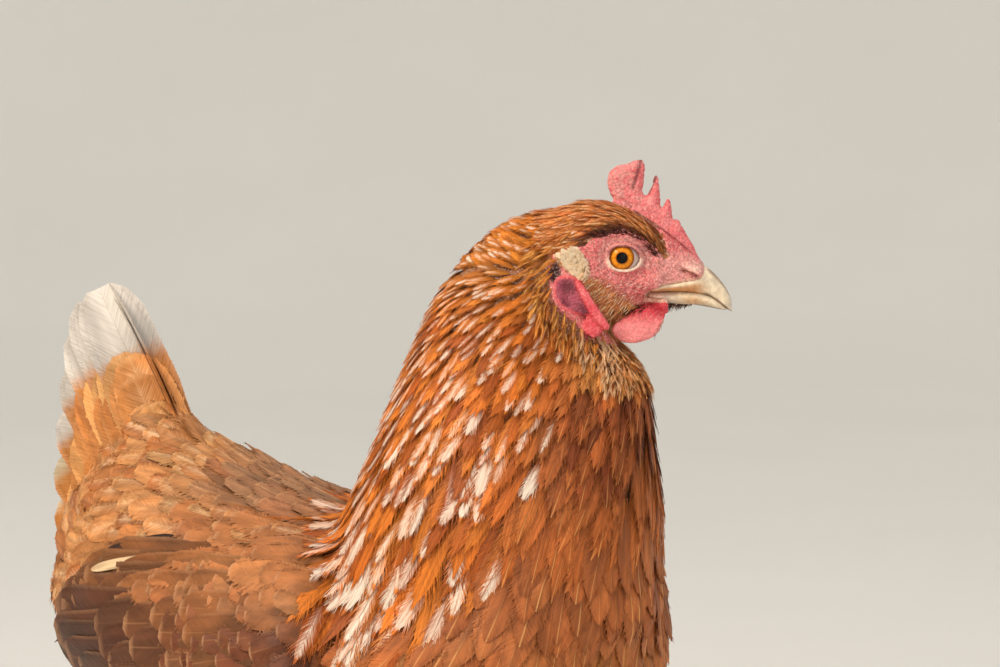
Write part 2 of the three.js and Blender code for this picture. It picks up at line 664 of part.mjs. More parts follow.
// Keeps what lies to one side of an upright plane through the foot's middle.
function besidePlane(s, side, turn, keep) {
  const yaw = radians(side * turn);
  const normal = new THREE.Vector3(-Math.sin(yaw), Math.cos(yaw), 0).multiplyScalar(keep * side);
  return s.trimByPlane(normal.toArray(), normal.dot(footRoot(side)) + GAP / 2);
}
for (const [name, side] of SIDES) {
  const shankCutter = platedShank(side, GAP);
  TOES.forEach(([toe, turn, length, thick], k) => {
    const before = TOES[(k + TOES.length - 1) % TOES.length][1];
    const after = TOES[(k + 1) % TOES.length][1];
    const claw = along(clawRows(length, thick), side, turn, 6, 6);
    const clawCutter = along(clawRows(length, thick), side, turn, 6, 6, GAP);
    const plates = Math.round(length / TOE_PLATE);
    const full = along(toeRows(length, thick), side, turn, 6, plates * 2, 0, plates);
    const rough = cut(full, shankCutter, floorCutter, clawCutter);
    const fromBefore = besidePlane(rough, side, (turn + before - (before > turn ? 360 : 0)) / 2, 1);
    const flesh = besidePlane(fromBefore, side, (turn + after + (after < turn ? 360 : 0)) / 2, -1);
    add(`toe_${toe}_${name}`, flesh, legScale);
    add(`claw_${toe}_${name}`, cut(claw, floorCutter), horn);
  });
}

// ---------------------------------------------------------------- frame
// The origin is the middle of the hen's outline on the floor.
const outline = new THREE.Box3().setFromObject(hen);
hen.position.x = -(outline.min.x + outline.max.x) / 2;
hen.position.y = -(outline.min.y + outline.max.y) / 2;

export default hen;
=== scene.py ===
import math

import bmesh
import bpy
import numpy as np
from mathutils import Matrix, Vector, kdtree, noise
from mathutils.bvhtree import BVHTree


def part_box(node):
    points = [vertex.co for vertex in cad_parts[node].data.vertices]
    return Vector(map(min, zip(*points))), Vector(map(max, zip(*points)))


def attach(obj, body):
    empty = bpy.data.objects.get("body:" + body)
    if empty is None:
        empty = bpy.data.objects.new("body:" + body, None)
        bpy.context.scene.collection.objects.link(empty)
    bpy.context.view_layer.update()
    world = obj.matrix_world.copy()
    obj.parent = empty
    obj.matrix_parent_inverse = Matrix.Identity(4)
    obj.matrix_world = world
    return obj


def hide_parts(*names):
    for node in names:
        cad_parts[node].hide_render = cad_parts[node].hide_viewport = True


# A standing hen of a brown laying breed, life size. Tables are in millimetres about the hen's own axes:
# +X forward, +Y to its left, the floor at z = 0.
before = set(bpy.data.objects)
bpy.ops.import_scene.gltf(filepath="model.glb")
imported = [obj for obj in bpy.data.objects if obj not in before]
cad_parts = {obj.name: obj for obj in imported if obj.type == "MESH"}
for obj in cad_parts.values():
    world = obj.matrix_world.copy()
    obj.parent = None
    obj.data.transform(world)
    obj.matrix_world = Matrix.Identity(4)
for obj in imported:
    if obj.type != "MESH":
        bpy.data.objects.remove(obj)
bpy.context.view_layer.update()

# ---------------------------------------------------------------- body form
# The outer surface of the hen's coat: trunk, neck, head, folded wings, tail core and thighs, each one smooth
# form, fused into a single surface. The skin lies inside it and every feather is laid over it.
MM = 0.001
HEAD_AT = np.array((82, 23.5, 340.0))  # middle of the head, between the eyes
HEAD_TURN = math.radians(36)  # to the hen's left
eye_corners = [np.array(corner) for name in ("eye_left", "eye_right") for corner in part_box(name)]
SHIFT = sum(eye_corners) / 4 / MM - HEAD_AT  # from the hen's axes to the frame's
TRUNK = [
    # x, top, bottom, half width
    (-172, 215, 200, 0), (-163, 238, 172, 27), (-138, 256, 150, 45), (-104, 261, 133, 57),
    (-68, 249, 119, 67), (-30, 242, 110, 73), (8, 244, 105, 75), (42, 250, 108, 72), (70, 252, 126, 62),
    (91, 242, 154, 45), (102, 210, 198, 0),
]
NECK = [
    # x, y, z of the middle, turn and tilt in degrees, half depth, half width, narrowing of the throat side
    (38, 0, 172, 0, 0, 0, 0, 0), (36, 0, 196, 0, 0, 62, 58, 0), (39, 0, 222, 0, -2, 63, 63, 0),
    (44, 0, 246, 2, 0, 58.5, 59, 0), (48, 1, 268, 6, 2, 52.5, 53, 0.06), (51, 3, 290, 12, 6, 46.5, 46, 0.18),
    (54, 5, 309, 20, 16, 41, 36.5, 0.36), (60, 9, 324, 28, 34, 35, 26, 0.44),
    (66.5, 13, 333, 33, 56, 28.5, 19.5, 0.34), (71.5, 16.5, 336.5, 36, 74, 19, 13, 0.1),
    (75, 18.5, 338.5, 36, 80, 0, 0, 0),
]
HEAD = [
    # x, top, bottom, half width, about the middle of the head
    (-30, -2, -4, 0), (-27, 14, -19, 13), (-17, 20.5, -25, 17), (-6, 21, -26, 17), (4, 18, -23.5, 15.2),
    (12, 13, -19.5, 12.2), (20, 7.5, -16.5, 9.2), (27, 1.5, -15.2, 7.2), (31, -3, -14.8, 5),
    (32.5, -8, -11, 0),
]
WING_HULL = [
    # x, top, bottom, half width of the hull that the folded wings lie on
    (-196, 222, 168, 30), (-160, 238, 158, 46), (-120, 252, 138, 62), (-80, 252, 122, 73),
    (-30, 247, 110, 79), (10, 249, 105, 81), (40, 254, 108, 78), (70, 256, 124, 68),
]
WING = [
    # x, middle and half spread in degrees from the spine, half thickness
    (-154, 116, 0, 0), (-142, 113, 9, 2), (-114, 104, 19, 4), (-80, 92, 28, 6), (-44, 81, 37, 8),
    (-12, 75, 40, 8), (6, 76, 34, 7), (17, 79, 0, 0),
]
TAIL = [
    # x and z of the middle, half depth, half width
    (-108, 210, 0, 0), (-119, 226, 39, 26), (-136, 240, 39, 21), (-148, 254, 33, 15), (-155, 267, 21, 8),
    (-158, 274, 0, 0),
]
TAIL_RISE = math.radians(52)
# How far the coat stands out in front, by rows of the neck.
THROAT_FULLNESS = (0, 1.5, 3, 4.5, 5.2, 6, 5.6, 2.6, 0, 0, 0)
THIGH = [
    # x, y, z of the middle, half depth, half width
    (-6, 38, 168, 0, 0), (-6, 38, 158, 34, 22), (-8, 39, 138, 36, 25), (-13, 40, 117, 27, 20),
    (-20, 40, 101, 14, 12), (-25, 40, 91, 7.4, 6.8), (-25.5, 40, 88, 0, 0),
]
FORM_VOXEL = 3.0


def spline(a, b, c, d, f):
    """A smooth curve a share f of the way from b to c, with a and d the points on either side."""
    into, out, rise = (c - a) / 2, (d - b) / 2, c - b
    return b + f * (into + f * (3 * rise - 2 * into - out + f * (into + out - 2 * rise)))


def smooth_row(rows, t):
    """Every column of a table at shares t of the way down its rows, as smooth curves."""
    rows = np.asarray(rows, float)
    at = np.clip(np.asarray(t, float), 0, 1) * (len(rows) - 1)
    i = np.minimum(at.astype(int), len(rows) - 2)
    f = (at - i)[..., None]
    return spline(*(rows[np.clip(i + k, 0, len(rows) - 1)] for k in (-1, 0, 1, 2)), f)


def row_share(rows, x):
    """The shares of the way down the rows at which the first column reaches x."""
    t = np.linspace(0, 1, 400)
    return np.interp(x, smooth_row(rows, t)[:, 0], t)


def ease(low, high, value):
    """0 below low, 1 above high, and smooth between."""
    f = np.clip((np.asarray(value, float) - low) / (high - low), 0, 1)
    return f * f * (3 - 2 * f)


def unit(vectors):
    return vectors / np.maximum(np.linalg.norm(vectors, axis=-1, keepdims=True), 1e-9)


def mix(a, b, share):
    share = np.asarray(share, float)[..., None]
    return np.asarray(a) * (1 - share) + np.asarray(b) * share


def trunk_point(rows, t, angle):
    x, top, bottom, half = smooth_row(rows, t).T
    return np.stack([x, np.sin(angle) * half, (top + bottom) / 2 + np.cos(angle) * (top - bottom) / 2], -1)


def neck_point(t, angle):
    x, y, z, turn, tilt, deep, wide, narrow = smooth_row(NECK, t).T
    yaw, pitch = np.radians(turn), np.radians(tilt)
    throat = np.stack([np.cos(yaw) * np.cos(pitch), np.sin(yaw) * np.cos(pitch), -np.sin(pitch)], -1)
    left = np.stack([-np.sin(yaw), np.cos(yaw), 0 * yaw], -1)
    front = np.maximum(0, np.cos(angle))
    width = wide * (1 - narrow * front)
    full = np.interp(np.asarray(t) * (len(NECK) - 1), np.arange(len(NECK)), THROAT_FULLNESS)
    return (
        np.stack([x, y, z], -1)
        + throat * (np.cos(angle) * (deep + full * front))[:, None]
        + left * (np.sin(angle) * width)[:, None]
    )


def hull_point(side, x, degrees, lift):
    _, top, bottom, half = np.moveaxis(smooth_row(WING_HULL, row_share(WING_HULL, x)), -1, 0)
    a = np.radians(degrees)
    across = side * np.sin(a) * (half + lift)
    return np.stack([x + 0 * a, across, (top + bottom) / 2 + np.cos(a) * ((top - bottom) / 2 + lift)], -1)


def wing_point(side):
    def point(t, angle):
        x, middle, spread, thick = smooth_row(WING, t).T
        inner = np.where(np.sin(angle) < 0, 2.2, 1.0)
        lift = np.sin(angle) * np.maximum(thick, 0.4) * inner - 1
        return hull_point(side, x, middle + np.cos(angle) * spread, lift)
    return point


def tail_point(t, angle):
    x, z, deep, wide = smooth_row(TAIL, t).T
    d = np.cos(angle) * deep
    return np.stack([x + d * math.sin(TAIL_RISE), np.sin(angle) * wide, z + d * math.cos(TAIL_RISE)], -1)


def limb_point(rows, side):
    def point(t, angle):
        x, y, z, deep, wide = smooth_row(rows, t).T
        return np.stack([x + np.cos(angle) * deep, side * (y + np.sin(angle) * wide), z], -1)
    return point


def to_head(points):
    """Points about the middle of the head, facing along +X."""
    c, s = math.cos(HEAD_TURN), math.sin(HEAD_TURN)
    x, y, z = (np.asarray(points) - HEAD_AT).T
    return np.stack([c * x + s * y, c * y - s * x, z], -1)


def from_head(points):
    c, s = math.cos(HEAD_TURN), math.sin(HEAD_TURN)
    x, y, z = np.asarray(points).T
    return np.stack([c * x - s * y, s * x + c * y, z], -1) + HEAD_AT


def loft(bm, point, around, along):
    """A closed form: a sphere whose vertices are laid where point(share, angle) says."""
    made = bmesh.ops.create_uvsphere(bm, u_segments=around, v_segments=along, radius=1)["verts"]
    ball = np.array([v.co for v in made])
    t = np.arccos(np.clip(ball[:, 2], -1, 1)) / math.pi
    angle = np.arctan2(ball[:, 1], ball[:, 0])
    for vert, co in zip(made, point(t, angle)):
        vert.co = co
    return made


def finished_mesh(bm, name):
    """The bmesh as an object's mesh, its faces pointing out."""
    bmesh.ops.remove_doubles(bm, verts=bm.verts, dist=1e-5)
    bmesh.ops.recalc_face_normals(bm, faces=bm.faces)
    mesh = bpy.data.meshes.new(name)
    bm.to_mesh(mesh)
    bm.free()
    piece = bpy.data.objects.new(name, mesh)
    bpy.context.scene.collection.objects.link(piece)
    return piece


def apply_modifiers(piece):
    """Settles the piece's modifiers into its mesh."""
    graph = bpy.context.evaluated_depsgraph_get()
    mesh = bpy.data.meshes.new_from_object(piece.evaluated_get(graph))
    piece.modifiers.clear()
    old = piece.data
    piece.data = mesh
    bpy.data.meshes.remove(old)


def fuse(piece, voxel, rounds):
    """Makes one surface of the closed forms in a piece, and rounds the creases where they meet."""
    remesh = piece.modifiers.new("fuse", "REMESH")
    remesh.mode = "VOXEL"
    remesh.voxel_size = voxel
    soften = piece.modifiers.new("soften", "SMOOTH")
    soften.iterations = rounds
    apply_modifiers(piece)


def vertex_array(mesh):
    co = np.zeros(len(mesh.vertices) * 3, np.float32)
    mesh.vertices.foreach_get("co", co)
    return co.reshape(-1, 3).astype(float)


def normal_array(mesh):
    normals = np.zeros(len(mesh.vertices) * 3, np.float32)
    mesh.vertex_normals.foreach_get("vector", normals)
    return normals.reshape(-1, 3).astype(float)


def set_vertices(mesh, co):
    mesh.vertices.foreach_set("co", co.astype(np.float32).ravel())
    mesh.update()


SIDES = (("right", -1), ("left", 1))
form_parts = {
    "trunk": [(lambda t, a: trunk_point(TRUNK, t, a), 48, 40)],
    "neck": [(neck_point, 48, 40)],
    "head": [(lambda t, a: from_head(trunk_point(HEAD, t, a)), 40, 32)],
    "tail": [(tail_point, 32, 20)],
    "wing": [(wing_point(side), 32, 28) for _, side in SIDES],
    "thigh": [(limb_point(THIGH, side), 32, 24) for _, side in SIDES],
}
form_bm = bmesh.new()
part_trees = {}
for part_name, lofts in form_parts.items():
    part_bm = bmesh.new()
    for point, around, along in lofts:
        loft(form_bm, point, around, along)
        loft(part_bm, point, around, along)
    part_trees[part_name] = BVHTree.FromBMesh(part_bm)
    part_bm.free()
form = finished_mesh(form_bm, "form")
fuse(form, FORM_VOXEL, 6)
form_co = vertex_array(form.data)
form_normals = normal_array(form.data)
form_faces = [tuple(face.vertices) for face in form.data.polygons]
form_tree = BVHTree.FromPolygons([Vector(co) for co in form_co], form_faces)
form_face_normals = [Vector(form_normals[list(face)].sum(0)).normalized() for face in form_faces]
form_middles = np.array([form_co[list(face)].mean(0) for face in form_faces])
form_areas = np.array([face.area for face in form.data.polygons])
form_part = []
for middle in form_middles:
    gaps = {name: tree.find_nearest(Vector(middle))[3] for name, tree in part_trees.items()}
    form_part.append(min(gaps, key=gaps.get))
form_part = np.array(form_part)


# ---------------------------------------------------------------- skin
# One living skin over the whole hen. It lies under the coat, and is bare and red on the face, comb,
# wattles and earlobes, with folded lids round the eyes and a flap over each nostril.
SKIN_DEPTH = 5.5  # how far the skin lies under the tips of the coat
FLESH_ENDS = -80  # behind this x the wing is made of feathers alone
TRUNK_MIDDLE = 197  # height of the trunk's middle line beneath the wing's tip
HEAD_VOXEL = 0.62  # the cell of the remesh that makes the head one surface
COMB_THICK = 3.4
CREASE_FROM, CREASE_TO = np.array((7.6, 36.5)), np.array((4.6, 25.0))
FOLD_AT = (13.8, -19.4)  # the crease in the wattle: a point on it, and the way across it
FOLD_WAY = np.array((0.62, 0.78))
EYE_RADIUS = 7.4
EYE_SIDE = 8.6  # from the middle of the head to the middle of the eyeball
LID_OPENING = [
    # the gap between the lids
    (-5.1, -0.2), (-4.5, 2.1), (-2.5, 3.7), (0.4, 4.15), (3.2, 3.6), (5.6, 1.9), (7.1, -0.7), (5.9, -2.9),
    (3.3, -4.1), (0.2, -4.4), (-2.8, -3.8), (-4.6, -2.3),
]
COMB = [
    (-1.6, 19), (-4.4, 24.6), (-4.9, 28.6), (-3.9, 31.6), (-1.2, 33.6), (2, 34.2), (5, 35.4), (7.8, 35.8),
    (8.8, 33), (8.6, 28), (8.1, 23.6), (9.8, 22.4), (11.8, 26), (12.6, 29.8), (13.8, 29), (14.6, 24),
    (14.8, 18.4), (16.2, 18.2), (17.2, 21.2), (18.4, 20.4), (19.2, 15.6), (19.6, 12.8), (21.4, 13.4),
    (23.6, 9.6), (26.6, 4.6), (28.6, 0.4), (27.6, -1.6), (20, 3), (12, 9), (4, 14),
]
WATTLE = [
    (16.4, -15.4), (17.6, -20), (16.2, -25), (11.6, -30), (4.6, -32.2), (-1.4, -30.6), (-3.4, -26.4),
    (2.6, -21.6), (9.6, -17.6),
]
LOBE = [
    (-24, -8), (-24.8, -12), (-23.2, -16), (-19.5, -18.9), (-14.5, -20.8), (-11.6, -19.8), (-11.9, -16),
    (-13.6, -12), (-16, -8.6), (-20, -7),
]
LOBE_BAND = [
    (-17.6, -8.4), (-14.8, -9.2), (-11.2, -14.6), (-8.2, -19.2), (-4.8, -24.6), (-5.8, -26.6), (-9.8, -23.4),
    (-13, -18.6), (-15.6, -13.6),
]
LOBE_DROP = [
    (-13.2, -21.4), (-13.8, -25.6), (-12.6, -29.8), (-9.2, -28.8), (-6.6, -26.4), (-8.2, -23.6),
    (-10.6, -21.4),
]
EAR_TUFT = [
    (-25.6, 1.6), (-21, 3), (-17.4, 2.6), (-14, -1.2), (-12.4, -7.8), (-15.6, -8), (-20, -5), (-24, -1.6),
]
# The edge of the bare face in side view, from the brow forward, round the bill and wattle, and up behind
# the lobe.
BARE_FACE = [
    (-14, 4.5), (-8.3, 9.2), (0.8, 10.8), (8.6, 7), (13, 3.4), (16.2, -1.4), (18, 0.4), (15.8, 8),
    (13.4, 12.6), (10.2, 18), (7.6, 22.5), (7.4, 40), (45, 40), (45, -22), (17, -21), (13, -31), (-2, -33),
    (-12, -29), (-25, -17), (-27.5, -6), (-26.5, 1.5), (-19, 4),
]


def closed_curve(points, count):
    """A smooth closed curve through the points."""
    rows = np.asarray(points, float)
    at = np.arange(count) / count * len(rows)
    i = at.astype(int)
    f = (at - i)[:, None]
    return spline(*(rows[(i + k) % len(rows)] for k in (-1, 0, 1, 2)), f)


def inside(points, outline):
    """Which points (x, z) lie inside a closed outline."""
    result = np.zeros(len(points), bool)
    x, z = points[:, 0], points[:, 1]
    for (x0, z0), (x1, z1) in zip(outline, np.roll(outline, -1, axis=0)):
        crosses = (z0 > z) != (z1 > z)
        at = x0 + (z - z0) * (x1 - x0) / (z1 - z0 if z1 != z0 else 1e-9)
        result ^= crosses & (x < at)
    return result


def outline_gap(points, outline):
    """The distance of points (x, z) from a closed outline, negative inside, and the nearest points on it."""
    best = np.full(len(points), 1e9)
    nearest = np.zeros((len(points), 2))
    for a, b in zip(outline, np.roll(outline, -1, axis=0)):
        f = np.clip((points - a) @ (b - a) / max((b - a) @ (b - a), 1e-9), 0, 1)
        on = a + f[:, None] * (b - a)
        gap = np.linalg.norm(points - on, axis=1)
        closer = gap < best
        best[closer] = gap[closer]
        nearest[closer] = on[closer]
    return np.where(inside(points, outline), -best, best), nearest


def bell(gap, breadth):
    """A share that falls off on both sides of nought."""
    return np.exp(-((gap / breadth) ** 2))


def crease_gap(points):
    """How far points (x, z) are from the crease in the rear lobe of the comb."""
    run = CREASE_TO - CREASE_FROM
    f = np.clip((points - CREASE_FROM) @ run / (run @ run), 0, 1)
    return np.linalg.norm(points - CREASE_FROM - f[:, None] * run, axis=1)


def flap(outline, side, at, thick, splay=0.0, hollow=0.0, folds=0.0):
    """A fleshy flap: an outline in the plane of the cheek, thick in the middle and thin at the rim."""
    curve = closed_curve(outline, 120)
    middle = np.mean(outline, axis=0)

    def point(t, angle):
        share = (angle / (2 * math.pi)) % 1 * 120
        closed = np.vstack([curve, curve[:1]])
        rim = np.stack([np.interp(share, np.arange(121), closed[:, k]) for k in (0, 1)], -1)
        reach = np.sin(t * math.pi)
        face = np.cos(t * math.pi)
        x, z = (middle + (rim - middle) * reach[:, None]).T
        dish = np.where(face > 0, hollow * (1 - reach**4), 0)
        fold = folds * np.sin(angle * 5) * reach**2
        y = np.sign(face) * np.abs(face) ** 0.6 * thick / 2 - dish + fold
        return np.stack([x, side * (at + y + splay * (middle[1] - z)), z], -1)
    return point


def ball(centre, size, turn=0.0):
    """A rounded lump: half sizes along x, y, z, tipped forward by turn degrees."""
    def point(t, angle):
        x = np.sin(t * math.pi) * np.cos(angle) * size[0]
        y = np.sin(t * math.pi) * np.sin(angle) * size[1]
        z = np.cos(t * math.pi) * size[2]
        c, s = math.cos(math.radians(turn)), math.sin(math.radians(turn))
        return np.stack([c * x + s * z, y, c * z - s * x], -1) + np.array(centre)
    return point


def rough(points, scale, seed=0.0):
    """Smooth noise between -1 and 1 at each point."""
    return np.array([noise.noise(Vector(p * scale) + Vector((seed, seed, seed))) for p in points])


# The bare parts, about the middle of the head.
head_bm = bmesh.new()
loft(head_bm, lambda t, a: trunk_point(HEAD, t, a), 72, 56)
throat_base = neck_point(np.array([0.56]), np.array([math.pi / 2]))[0] * (1, 0, 1)


def throat_point(t, angle):
    """The top of the neck, closed below."""
    rim = neck_point(0.56 + 0.44 * t, angle)
    return to_head(mix(throat_base, rim, ease(-0.02, 0.06, t) * (t > 0.001)))


loft(head_bm, throat_point, 64, 40)
for _, side in SIDES:
    loft(head_bm, ball((0, side * EYE_SIDE, 0), (8.8, 8.8, 8.8)), 48, 32)
    loft(head_bm, ball((0.5, side * 12.2, 7.6), (9.5, 4.2, 3.2), 12), 40, 24)
    loft(head_bm, ball((6, side * 10.6, -10.5), (10, 4, 4.6), -14), 40, 24)
    loft(head_bm, ball((26.6, side * 7.0, -5.6), (4.3, 1.9, 2.7), 28), 36, 24)
    loft(head_bm, flap(WATTLE, side, 9.8, 4.2, splay=0.1, folds=0.5), 60, 30)
    lobe_at = 20.4 if side > 0 else 19.2
    loft(head_bm, flap(LOBE, side, lobe_at, 4.4, splay=0.06, hollow=1.5), 60, 30)
    loft(head_bm, flap(LOBE_BAND, side, lobe_at + 0.5, 3.6, splay=0.06), 60, 24)
    loft(head_bm, flap(LOBE_DROP, side, lobe_at - 0.6, 3, splay=0.06), 48, 24)
    loft(head_bm, flap(EAR_TUFT, side, 17.6, 3.6, splay=0.02), 48, 24)
comb_curve = closed_curve(COMB, 150)
comb_rim = [head_bm.verts.new((x, -COMB_THICK / 2, z)) for x, z in comb_curve]
comb_face = head_bm.faces.new(comb_rim)
comb_side = bmesh.ops.extrude_face_region(head_bm, geom=[comb_face])["geom"]
comb_verts = [g for g in comb_side if isinstance(g, bmesh.types.BMVert)]
bmesh.ops.translate(head_bm, vec=(0, COMB_THICK, 0), verts=comb_verts)
bmesh.ops.triangulate(head_bm, faces=[f for f in head_bm.faces if len(f.verts) > 4])
skin = finished_mesh(head_bm, "skin")
fuse(skin, HEAD_VOXEL, 3)

# Finer mesh round the eyes, for the lids.
fine_bm = bmesh.new()
fine_bm.from_mesh(skin.data)
near_eye = [
    edge for edge in fine_bm.edges
    if all(math.hypot(v.co.x - 0.8, v.co.z) < 9.5 and abs(v.co.y) > 8 for v in edge.verts)
]
bmesh.ops.subdivide_edges(fine_bm, edges=near_eye, cuts=1, use_grid_fill=True)
bmesh.ops.recalc_face_normals(fine_bm, faces=fine_bm.faces)
fine_bm.to_mesh(skin.data)
fine_bm.free()

head_co = vertex_array(skin.data)
head_out = normal_array(skin.data)
flat = head_co[:, [0, 2]]
head_x, head_y, head_z = head_co.T  # views, which follow every change

# The comb is thickest low down, thins towards its points, and its top leans to the right.
comb_gap, _ = outline_gap(flat, comb_curve)
over_base = head_z > 22 - 0.95 * np.maximum(head_x, 0)
on_comb = (np.abs(head_y) < 3.2) & (comb_gap < 1.2) & over_base
comb_depth = np.clip(-comb_gap, 0, 6)
comb_share = 0.55 + 0.75 * ease(0, 3.2, comb_depth) + 0.35 * ease(30, 16, head_z)
head_co[on_comb, 1] *= comb_share[on_comb]
crease = np.where(on_comb, bell(crease_gap(flat), 0.8), 0)
head_y -= np.sign(head_y) * crease * 0.75
leaning = np.maximum(0, head_z - 20) * on_comb
head_y -= 0.012 * leaning**2

# The lids: a thin rim that lies on the eyeball, and two folds that ring it.
eye_opening = closed_curve(LID_OPENING, 160)
eye_side = np.sign(head_y)
eye_gap, eye_rim = outline_gap(flat, eye_opening)
near = (np.abs(head_y) > 8.4) & (eye_gap < 6.5)
eye_middle = np.stack([0 * eye_side, eye_side * EYE_SIDE, 0 * eye_side], -1)
from_eye = head_co - eye_middle
reach = np.linalg.norm(from_eye, axis=1)
LID_PROFILE = [
    # distance from the opening, reach from the middle of the eyeball
    (-9, 6.2), (-0.3, 6.2), (0, 7.5), (0.35, 8.25), (0.8, 8.8), (1.3, 8.85), (1.9, 8.35), (2.6, 8.85),
    (3.2, 8.95), (3.9, 8.6), (4.6, 8.95), (6.5, 9.2),
]
RIM_REACH_SQUARED = 56  # the rim of the lids lies on the eyeball
lid_reach = np.interp(eye_gap, *np.array(LID_PROFILE).T)
lid_share = ease(6.2, 2.8, eye_gap)
wanted = reach * (1 - lid_share) + lid_reach * lid_share
moved = from_eye * (wanted / np.maximum(reach, 1e-6))[:, None]
snap = near & (np.abs(eye_gap) < 0.24)
moved[snap, 0] = eye_rim[snap, 0]
moved[snap, 2] = eye_rim[snap, 1]
rim_rise = RIM_REACH_SQUARED - moved[snap, 0] ** 2 - moved[snap, 2] ** 2
moved[snap, 1] = eye_side[snap] * np.sqrt(np.maximum(rim_rise, 0.5))
head_co[near] = (eye_middle + moved)[near]

# Slits under the nostril flaps, the line of the mouth behind the bill, and wrinkles in the bare skin.
def slit_gap(points):
    """How far points (x, z) are from the line of the nostril's slit, and whether they are beside it."""
    x = points[:, 0] - 25.8
    return points[:, 1] + 6.5 + 0.5 * x, ease(3.7, 2.9, np.abs(x))


slit_off, beside_slit = slit_gap(flat)
slit = bell(slit_off, 0.62) * beside_slit * (np.abs(head_y) > 4)
gape = bell(head_z + 12.6, 0.5)
gape = gape * ease(5.5, 8, head_x) * ease(19, 15, head_x)
bare = inside(flat, np.array(BARE_FACE)) | on_comb
wrinkle_at = head_co * np.array((0.35, 0.35, 1.0))
wrinkles = rough(wrinkle_at, 0.9) * 0.5 + rough(head_co, 0.6, 9) * 0.5
fine_wrinkles = rough(head_co, 1.7, 21)
relief = np.where(bare, 0.34 * wrinkles + 0.24 * fine_wrinkles, 0)
relief = relief * np.where(near, 0.6 * ease(0.6, 3, eye_gap), 1)
hollow = np.exp(-(((head_x + 24.6) / 2.4) ** 2) - ((head_z + 5.2) / 3.6) ** 2)
hollow = hollow * (np.abs(head_y) > 8)
relief -= 2.6 * hollow
wattle_fold = bell((flat - FOLD_AT) @ FOLD_WAY, 1.3)
wattle_fold = wattle_fold * ease(18, 14, flat[:, 0]) * ease(5, 9, flat[:, 0])
wattle_fold *= (np.abs(head_y) > 8) * (flat[:, 1] < -15)
relief -= 1.9 * slit + 1.3 * wattle_fold + 0.7 * gape * (np.abs(head_y) > 4)
head_co += head_out * relief[:, None]

# In front of the corner of the mouth the skin ends above the horn of the bill.
def horn_edge(x):
    """The height at which the skin ends above the horn."""
    return np.interp(x, (9, 14.4, 21.2, 27.4, 30, 31.6, 32.2), (-13.4, -11.3, -10.1, -9.5, -8.8, -6.2, -4.4))


horn_line = horn_edge(head_x)
on_horn = ease(8.5, 10.5, head_x) * ease(0.5, -0.2, head_z - horn_line)
on_horn = on_horn * (head_z > -15.5)
head_y *= 1 - 0.5 * on_horn
chin = ease(12, 15, head_x) * ease(-14.5, -15.5, head_z) * (np.abs(head_y) < 7)
head_z += 2.2 * chin

# Feathered parts of the head lie under the coat, and the rest of the skin under the body's.
head_feathered = ~bare & (np.abs(head_y) + 60 * (head_x < -3) > 2.4)
sink = 1.2 + 2.2 * ease(-12, -28, head_x) + 2 * ease(-24, -34, head_z)
sink = np.where(head_feathered, sink, 0)
head_co -= head_out * sink[:, None]
set_vertices(skin.data, from_head(head_co))

body_bm = bmesh.new()
body_bm.from_mesh(form.data)
body_depth = SKIN_DEPTH + 6 * ease(300, 325, form_co[:, 2])
under_co = form_co - form_normals * body_depth[:, None]
for k in np.flatnonzero(form_co[:, 0] < FLESH_ENDS):
    # The thin tip of the wing has no flesh, and the skin runs on over the trunk beneath it.
    if part_trees["wing"].find_nearest(Vector(form_co[k]))[3] < 1:
        on_trunk = np.array(part_trees["trunk"].find_nearest(Vector(form_co[k]))[0])
        below = on_trunk - unit(on_trunk - (on_trunk[0], 0, TRUNK_MIDDLE)) * (SKIN_DEPTH + 4)
        under_co[k] = mix(under_co[k], below, ease(FLESH_ENDS, FLESH_ENDS - 20, form_co[k, 0]))
for vert, co in zip(body_bm.verts, under_co):
    vert.co = co
bmesh.ops.smooth_vert(
    body_bm, verts=body_bm.verts, factor=0.5, use_axis_x=True, use_axis_y=True, use_axis_z=True,
)
under = finished_mesh(body_bm, "under")
join = skin.modifiers.new("join", "BOOLEAN")
join.operation = "UNION"
join.solver = "MANIFOLD"
join.object = under
apply_modifiers(skin)
bpy.data.objects.remove(under)


def ink(code):
    """A colour written as six hexadecimal digits, in linear light."""
    c = np.array([int(code[k:k + 2], 16) for k in (0, 2, 4)]) / 255
    return np.where(c <= 0.04045, c / 12.92, ((c + 0.055) / 1.055) ** 2.4)


def between(code, other, share):
    return mix(ink(code), ink(other), share)


def wash(colours, code, share):
    """A colour laid over others by a share."""
    return mix(colours, ink(code), share)


def set_colours(mesh, name, values):
    """Stores a colour for each vertex."""
    rgba = np.ones((len(values), 4), np.float32)
    rgba[:, :values.shape[1]] = values
    layer = mesh.color_attributes.new(name, "FLOAT_COLOR", "POINT")
    layer.data.foreach_set("color", rgba.ravel())


skin_co = vertex_array(skin.data)
skin_head = to_head(skin_co)
skin_faces = [tuple(face.vertices) for face in skin.data.polygons]
skin_x, skin_y, skin_z = skin_head.T
skin_flat = skin_head[:, [0, 2]]
width = np.abs(skin_y)
comb_gap, _ = outline_gap(skin_flat, comb_curve)
eye_gap, _ = outline_gap(skin_flat, eye_opening)
lobe_gap, _ = outline_gap(skin_flat, closed_curve(LOBE, 80))
band_gap = outline_gap(skin_flat, closed_curve(LOBE_BAND, 60))[0]
band_gap = np.minimum(band_gap, outline_gap(skin_flat, closed_curve(LOBE_DROP, 60))[0])
wattle_gap, _ = outline_gap(skin_flat, closed_curve(WATTLE, 80))
bare = inside(skin_flat, np.array(BARE_FACE))
is_comb = (width < 4.5) & (comb_gap < 0.8) & (skin_z > 18 - 0.8 * np.maximum(skin_x, 0))
blotch = rough(skin_co, 0.22, 3) * 0.5 + 0.5
speck = rough(skin_co, 1.1, 5) * 0.5 + 0.5
grit = rough(skin_co, 2.2, 11) * 0.5 + 0.5
